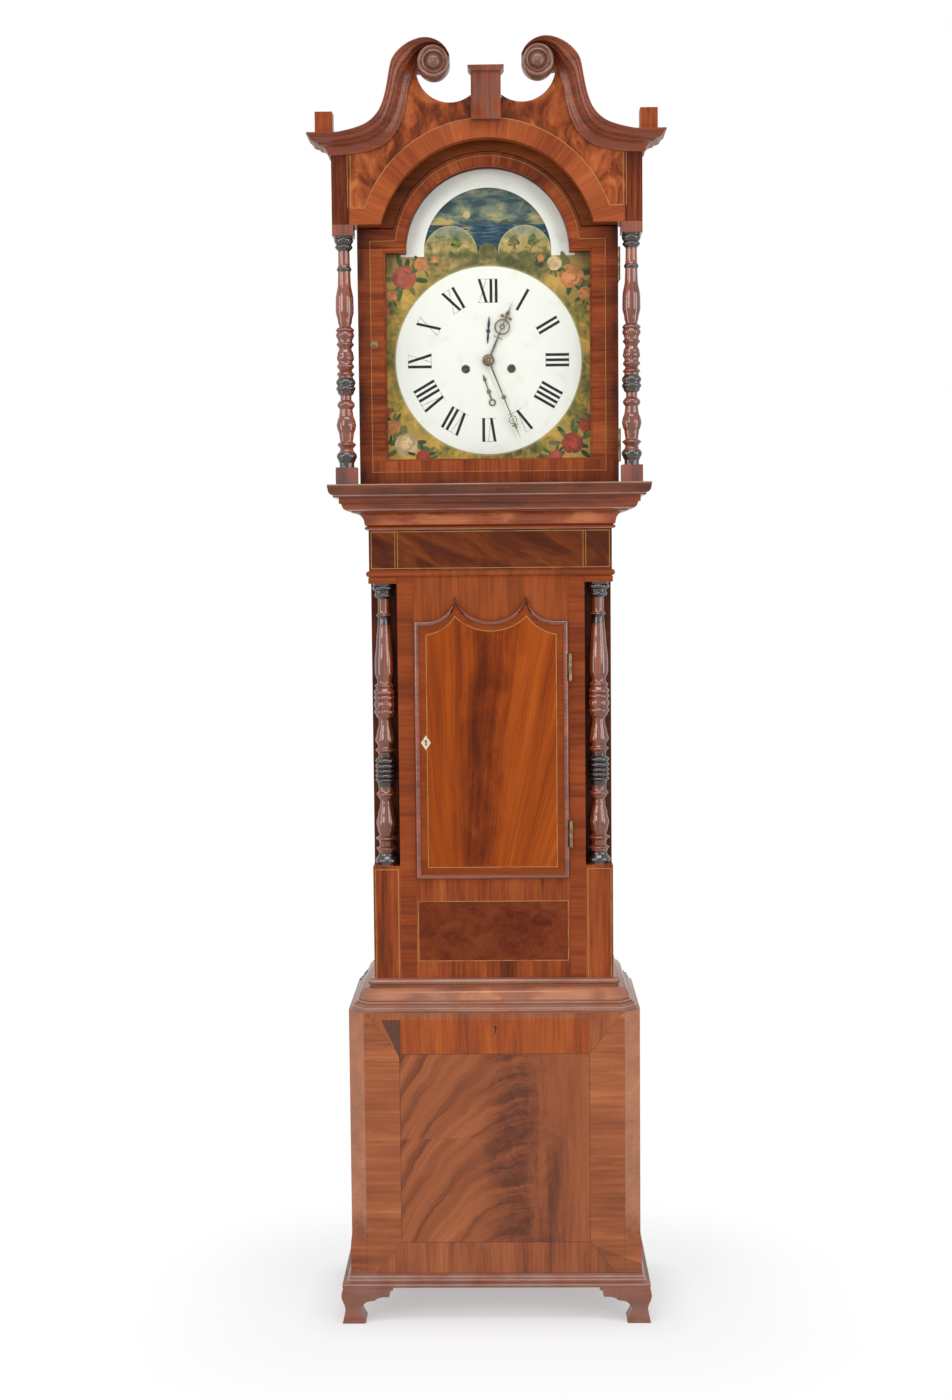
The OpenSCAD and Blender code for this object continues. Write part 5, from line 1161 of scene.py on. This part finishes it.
def build_door_lip():
    """Rounded lip round the edge of the trunk door, inset step by step from the door's outline."""
    flat = DOOR_Z1 - CUSP_H
    cusp = Vector((CUSP_X, DOOR_Z1))
    side = sagging_arc(Vector((DOOR_HALF - SHOULDER, flat)), cusp, SIDE_R, 16)
    middle = sagging_arc(cusp, Vector((-CUSP_X, DOOR_Z1)), MIDDLE_R, 24)
    right = [Vector((DOOR_HALF, DOOR_Z0)), Vector((DOOR_HALF, flat)), *side]
    left = [Vector((-p.x, p.y)) for p in reversed(right)]
    bm = bmesh.new()
    back = TRUNK_FRONT - 0.7
    face = bm.faces.new([bm.verts.new((p.x, back, p.y)) for p in (*right, *middle[1:-1], *left)])
    face.normal_update()
    if face.normal.y > 0:
        face.normal_flip()
    bottom = bmesh.ops.duplicate(bm, geom=[face])["geom"]
    bmesh.ops.reverse_faces(bm, faces=[item for item in bottom if isinstance(item, bmesh.types.BMFace)])
    angles = [math.radians(90 * i / 8) for i in range(9)]
    steps = [(-0.25, 0.0), (0.0, LIP_FOOT)]
    for a, b in zip(angles, angles[1:]):
        steps.append((LIP_ROUND * (math.cos(a) - math.cos(b)), LIP_NOSE * (math.sin(b) - math.sin(a))))
    for inward, forward in steps + LIP_SLOPE:
        bmesh.ops.inset_region(
            bm, faces=[face], thickness=inward, depth=forward, use_boundary=True, use_even_offset=True
        )
    bmesh.ops.remove_doubles(bm, verts=bm.verts, dist=0.001)
    for found in bm.faces:
        found.smooth = len(found.verts) == 4
    crease(bm, 32.0)
    wood = moulding_wood("door_lip_wood", RED, seed=98.0, lift=-0.02, dust=0.0, shine=0.95)
    return new_piece("trunk_door_lip", bm, "trunk_door", "mahogany", wood)


GUT_R = 0.9
KNOT_R = 3.4
KNOT_FLAT = Matrix.Diagonal((1.0, 1.0, 0.44, 1.0))


def build_gut():
    """Four twisted gut lines in place of the CAD lines, each a straight cord of the CAD line's height, with a
    knot at the top of each return line.
    """
    pen = Pen("gut_line")
    twist = pen.rise(pen.math("SINE", pen.z * 2.2 + pen.x * 3.0), -0.6, 0.6)
    gut = pen.surface(Base_Color=pen.mix(twist, (0.46, 0.32, 0.14), (0.24, 0.155, 0.06)), Roughness=0.5)
    travel = {joint["name"]: joint["range_m"][1] / MM for joint in frame["joints"] if "range_m" in joint}
    for train, strand in itertools.product(("going", "strike"), ("drop", "return")):
        node, joint = f"{train}_gut_{strand}", f"{train}_weight_travel"
        lo, hi = low(node), high(node)
        length = hi.z - lo.z
        keep = 1.0 - (travel[joint] + 0.02) / length
        middle = (lo + hi) / 2
        bm = bmesh.new()
        place = Matrix.Translation(middle)
        bmesh.ops.create_cone(
            bm, cap_ends=True, segments=12, radius1=GUT_R, radius2=GUT_R, depth=length, matrix=place
        )
        if strand == "return":
            knot = Matrix.Translation((middle.x, middle.y, hi.z - 1.5)) @ KNOT_FLAT
            bmesh.ops.create_uvsphere(bm, u_segments=16, v_segments=10, radius=KNOT_R, matrix=knot)
        line = new_piece(node + "_line", bm, "case", "gut", gut)
        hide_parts(node)
        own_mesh(line)


class CLOCK_OT_base(bpy.types.Operator):
    """Veneers the base, its mouldings and the bracket feet"""

    bl_idname = "clock.base"
    bl_label = "Base"

    def execute(self, context):
        dress(base_veneer(), "base_front")
        dress(plain_wood("side_boards", WARM, 71.0, -0.04), "base_sides", "trunk_sides", "hood_sides")
        # Painted highlights: bright bands on the cove and on the fillet above the base, and highlight lines
        # at three heights.
        moulding = moulding_wood(
            "base_moulding_wood",
            BASE,
            seed=73.0,
            lift=-0.02,
            dust=0.35,
            shine=0.6,
            glow=[(BASE_Z1 + 18, BASE_Z1 + 38, 240, 0.26), (BASE_Z1 + 2, BASE_Z1 + 10, 240, 0.10)],
            highlight_rims=(BASE_Z1 + 7.0, BASE_Z1 + 15.0, BASE_Z1 + 48.0),
        )
        smooth_copy(moulding, "trunk_base_moulding")
        # Heights of painted highlight lines on the plinth moulding.
        highlight_rims = (BASE_Z0 - 5.0, BASE_Z0 - 15.0)
        plinth = moulding_wood(
            "plinth_wood", RED, seed=74.0, lift=0.0, dust=0.60, shine=0.5, contrast=0.6, highlight_rims=highlight_rims
        )
        smooth_copy(plinth, "plinth_moulding", "bracket_feet")
        return {"FINISHED"}


class CLOCK_OT_trunk(bpy.types.Operator):
    """Veneers the trunk with its frieze, pedestals and top moulding"""

    bl_idname = "clock.trunk"
    bl_label = "Trunk"

    def execute(self, context):
        dress(trunk_frame_veneer(), "trunk_front_frame")
        dress(pedestal_veneer(), "trunk_pedestals")
        # Painted highlight on the cove, a band of painted shade higher up, and painted highlight lines at two
        # edges.
        moulding = moulding_wood(
            "top_moulding_wood",
            WARM,
            seed=81.0,
            lift=-0.02,
            dust=0.0,
            shine=0.4,
            glow=[(TRUNK_Z1 + 9, TRUNK_Z1 + 27, 215, 0.36), (TRUNK_Z1 + 36, TRUNK_Z1 + 50, 260, -0.07)],
            highlight_rims=(TRUNK_Z1 + 0.5, TRUNK_Z1 + 33.0),
        )
        smooth_copy(moulding, "trunk_top_moulding")
        return {"FINISHED"}


class CLOCK_OT_trunk_door(bpy.types.Operator):
    """Veneers the trunk door and its keyhole plate, and adds the door's rounded lip"""

    bl_idname = "clock.trunk_door"
    bl_label = "Trunk door"

    def execute(self, context):
        dress(trunk_door_veneer(), "trunk_door")
        build_door_lip()
        dress(bone_inlay(), "trunk_escutcheon")
        return {"FINISHED"}


class CLOCK_OT_hood(bpy.types.Operator):
    """Veneers the hood with its swan necks, rosettes, blocks and mouldings"""

    bl_idname = "clock.hood"
    bl_label = "Hood"

    def execute(self, context):
        dress(tympanum_veneer(), "hood_tympanum")
        dress(hood_door_veneer(), "hood_door")
        necks = moulding_wood("swan_neck_wood", RED, seed=91.0, lift=-0.01, dust=0.1, shine=0.3, contrast=0.7)
        smooth_copy(necks, "swan_neck_left", "swan_neck_right")
        roses = moulding_wood("rosette_wood", DARK, seed=93.0, lift=0.02, dust=0.5, shine=0.5, contrast=0.4)
        turned_copy(roses, "rosettes", DEPTH)
        dress(plain_wood("block_wood", RED, 94.0, 0.03), "hood_side_entablature")
        dress(block_veneer(), "pediment_blocks")
        # A band of painted shade below the top of the hood's sill, and painted highlight lines at two edges.
        glow = [(HOOD_Z0 - 14, HOOD_Z0 - 5, 320, -0.10)]
        highlight_rims = (HOOD_Z0 - 1.0, HOOD_Z0 - 18.0)
        sill = moulding_wood(
            "hood_base_wood", DARK, seed=95.0, lift=0.0, dust=0.10, shine=0.28, glow=glow, highlight_rims=highlight_rims
        )
        smooth_copy(sill, "hood_base_frame")
        dress(plain_wood("mask_wood", DARK, 96.0, 0.04, level=True), "hood_mask")
        dress(raw_pine(), "hood_roof", "backboard", "base_floor", "seatboard")
        dress(window_glass(), "hood_glass")
        return {"FINISHED"}


class CLOCK_OT_columns(bpy.types.Operator):
    """Polishes the turned columns and blacks their bands"""

    bl_idname = "clock.columns"
    bl_label = "Turned columns"

    def execute(self, context):
        trunk = [(PEDESTAL_Z1 + z0, PEDESTAL_Z1 + z1) for z0, z1 in TRUNK_BANDS]
        turned_copy(turned_wood("trunk_column_wood", trunk, 101.0), "trunk_columns", HEIGHT)
        hood = [(HOOD_Z0 + z0, HOOD_Z0 + z1) for z0, z1 in HOOD_BANDS]
        turned_copy(turned_wood("hood_column_wood", hood, 103.0), "hood_columns", HEIGHT, 28.5, 18.5)
        return {"FINISHED"}


class CLOCK_OT_dial(bpy.types.Operator):
    """Paints the dial and the moon disc and adds numerals, flower sprays and grommets"""

    bl_idname = "clock.dial"
    bl_label = "Dial"

    def execute(self, context):
        dress(dial_paint(), "dial_plate")
        dress(moon_paint(), "moon_disc")
        build_numerals()
        build_sprays()
        build_grommets()
        return {"FINISHED"}


class CLOCK_OT_metalwork(bpy.types.Operator):
    """Finishes hands, hinges, knob, movement, pendulum, bell, weights and lines"""

    bl_idname = "clock.metalwork"
    bl_label = "Metalwork"

    def execute(self, context):
        brass = metal("clock_brass", (0.62, 0.44, 0.18), (0.26, 0.17, 0.07), 0.26)
        wheels = [name + "_wheel" for name in ("great", "centre", "third", "escape", "minute", "hour")]
        dress(brass, "movement_plates", *wheels, "going_pulley", "strike_pulley")
        dress(winding_metal(), "going_barrel", "strike_barrel")
        old = metal("dull_brass", (0.26, 0.18, 0.09), (0.05, 0.035, 0.025), 0.36, amount=0.9)
        dress(old, "trunk_hinges_case", "trunk_hinges_door", "hood_hinges", "hood_knob")
        hands = metal("hand_brass", (0.26, 0.21, 0.13), (0.07, 0.055, 0.04), 0.34, scale=0.15, amount=0.8)
        dress(hands, "hour_hand", "minute_hand", "calendar_hand")
        dress(metal("blued_steel", (0.05, 0.06, 0.08), (0.03, 0.03, 0.035), 0.34), "seconds_hand")
        steel = metal("steel", (0.46, 0.46, 0.46), (0.20, 0.17, 0.14), 0.32)
        dress(steel, "anchor", "pendulum_rod", "hammer")
        dress(metal("bob_brass", (0.66, 0.48, 0.20), (0.34, 0.22, 0.09), 0.22, scale=0.03), "pendulum_bob")
        dress(metal("bell_metal", (0.58, 0.46, 0.26), (0.20, 0.15, 0.08), 0.26), "bell")
        dress(cast_iron(), "going_weight", "strike_weight")
        build_gut()
        return {"FINISHED"}


# Camera: turns in degrees, distance before the base in millimetres, sides in metres.
YAW, PITCH, ROLL = -1.032, 4.350, -0.539
CAMERA_X, CAMERA_AWAY, CAMERA_Z = 0.0285, 2989.9, 1.2868
# Focal length and height of the photograph, in its pixels.
FOCAL_PX, PHOTO_H_PX = 1807.06, 1400.0
SENSOR_MM = 36.0


def camera_matrix():
    """Place and turn of the camera, from the view that the photograph was taken from."""
    yaw, pitch, roll = (math.radians(turn) for turn in (YAW, PITCH, ROLL))
    forward = Vector((math.cos(pitch) * math.sin(yaw), math.cos(pitch) * math.cos(yaw), -math.sin(pitch)))
    level = Vector((math.cos(yaw), -math.sin(yaw), 0.0))
    upward = level.cross(forward)
    right = level * math.cos(roll) + upward * math.sin(roll)
    up = upward * math.cos(roll) - level * math.sin(roll)
    turn = Matrix((right, up, -forward)).transposed().to_4x4()
    return Matrix.Translation((CAMERA_X, (FACE_Y - CAMERA_AWAY) * MM, CAMERA_Z)) @ turn


# Each lamp: name, place, the height that it looks at, its two sides in metres, and its power in watts.
LAMPS = (
    ("key_lamp", (-2.3, -3.2, 2.5), 1.2, (1.5, 2.2), 48.0),
    ("fill_lamp", (2.5, -3.0, 2.0), 1.1, (1.5, 2.2), 37.0),
    ("top_lamp", (0.0, -1.5, 3.7), 1.0, (2.4, 0.8), 33.0),
    ("left_strip", (-2.4, -1.1, 1.25), 1.1, (0.6, 2.5), 20.0),
    ("right_strip", (2.4, -1.1, 1.25), 1.1, (0.6, 2.5), 23.0),
)
WHITE = (1.0, 1.0, 1.0, 1.0)


def add_lamp(name, place, look_z, size, power):
    """A soft rectangular lamp that looks at a height on the clock's middle."""
    data = bpy.data.lights.new(name, "AREA")
    data.shape = "RECTANGLE"
    data.size, data.size_y = size
    data.energy = power
    lamp = bpy.data.objects.new(name, data)
    lamp.location = place
    lamp.rotation_euler = (Vector((0.0, 0.0, look_z)) - Vector(place)).to_track_quat("-Z", "Y").to_euler()
    bpy.context.collection.objects.link(lamp)


def floor_paint():
    """White floor that shades off into the backdrop away from the clock's feet."""
    pen = Pen("floor_white")
    out_x = pen.most(abs(pen.x) - BASE_HALF, 0.0)
    out_y = pen.most(abs(pen.y) + FACE_Y, 0.0)
    away = pen.math("SQRT", out_x * out_x + out_y * out_y)
    share = pen.rise(away, -60.0, 110.0) * 0.50 + pen.rise(away, 60.0, 420.0) * 0.22 + 0.28
    shade = pen.node("BsdfDiffuse", inputs={0: rgba((0.90, 0.90, 0.90))})
    glow = pen.node("Emission", inputs={0: WHITE, 1: 1.0})
    return pen.close(pen.node("MixShader", inputs={0: share * pen.backdrop_rays(), 1: shade, 2: glow}))


def add_floor():
    """Round floor just under the feet, part of the stage."""
    bm = bmesh.new()
    bmesh.ops.create_circle(bm, cap_ends=True, segments=64, radius=9.0)
    mesh = bpy.data.meshes.new("studio_floor")
    bm.to_mesh(mesh)
    bm.free()
    mesh.materials.append(floor_paint())
    floor = bpy.data.objects.new("studio_floor", mesh)
    floor.location.z = -0.0005
    bpy.context.collection.objects.link(floor)


def white_world():
    """World that is white to the eye and in mirrors, and gives a soft light."""
    world = bpy.data.worlds.new("studio_world")
    pen = Pen("world", world)
    soft = pen.node("Background", inputs={0: WHITE, 1: 0.24})
    white = pen.node("Background", inputs={0: WHITE, 1: 1.0})
    pen.close(pen.node("MixShader", inputs={0: pen.backdrop_rays(), 1: soft, 2: white}))
    return world


def add_camera():
    """Camera of the photograph."""
    data = bpy.data.cameras.new("clock_camera")
    data.sensor_fit = "VERTICAL"
    data.sensor_height = SENSOR_MM
    data.lens = SENSOR_MM * FOCAL_PX / PHOTO_H_PX
    camera = bpy.data.objects.new("clock_camera", data)
    bpy.context.collection.objects.link(camera)
    camera.matrix_world = camera_matrix()
    return camera


class CLOCK_OT_stage(bpy.types.Operator):
    """Sets the pale floor, the soft lamps, the world and the camera"""

    bl_idname = "clock.stage"
    bl_label = "Studio"

    def execute(self, context):
        scene = context.scene
        add_floor()
        scene.world = white_world()
        for lamp in LAMPS:
            add_lamp(*lamp)
        scene.camera = add_camera()
        scene.view_settings.view_transform = "Standard"
        return {"FINISHED"}


STEPS = (
    CLOCK_OT_base,
    CLOCK_OT_trunk,
    CLOCK_OT_trunk_door,
    CLOCK_OT_hood,
    CLOCK_OT_columns,
    CLOCK_OT_dial,
    CLOCK_OT_metalwork,
    CLOCK_OT_stage,
)


class CLOCK_PT_panel(bpy.types.Panel):
    """Buttons of the clock in the sidebar"""

    bl_idname = "CLOCK_PT_panel"
    bl_label = "Longcase Clock"
    bl_space_type = "VIEW_3D"
    bl_region_type = "UI"
    bl_category = "Clock"

    def draw(self, context):
        for name in ClockSettings.__annotations__:
            self.layout.prop(context.scene.clock_settings, name)
        for step in STEPS:
            self.layout.operator(step.bl_idname)


CLASSES = (ClockSettings, *STEPS, CLOCK_PT_panel)


def register():
    """Registers the classes and the settings."""
    for cls in CLASSES:
        bpy.utils.register_class(cls)
    bpy.types.Scene.clock_settings = PointerProperty(type=ClockSettings)


def unregister():
    """Takes the classes and the settings away."""
    del bpy.types.Scene.clock_settings
    for cls in reversed(CLASSES):
        bpy.utils.unregister_class(cls)


def main():
    """Dresses the clock step by step."""
    register()
    bpy.ops.clock.base()
    bpy.ops.clock.trunk()
    bpy.ops.clock.trunk_door()
    bpy.ops.clock.hood()
    bpy.ops.clock.columns()
    bpy.ops.clock.dial()
    bpy.ops.clock.metalwork()
    bpy.ops.clock.stage()


if __name__ == "__main__":
    main()
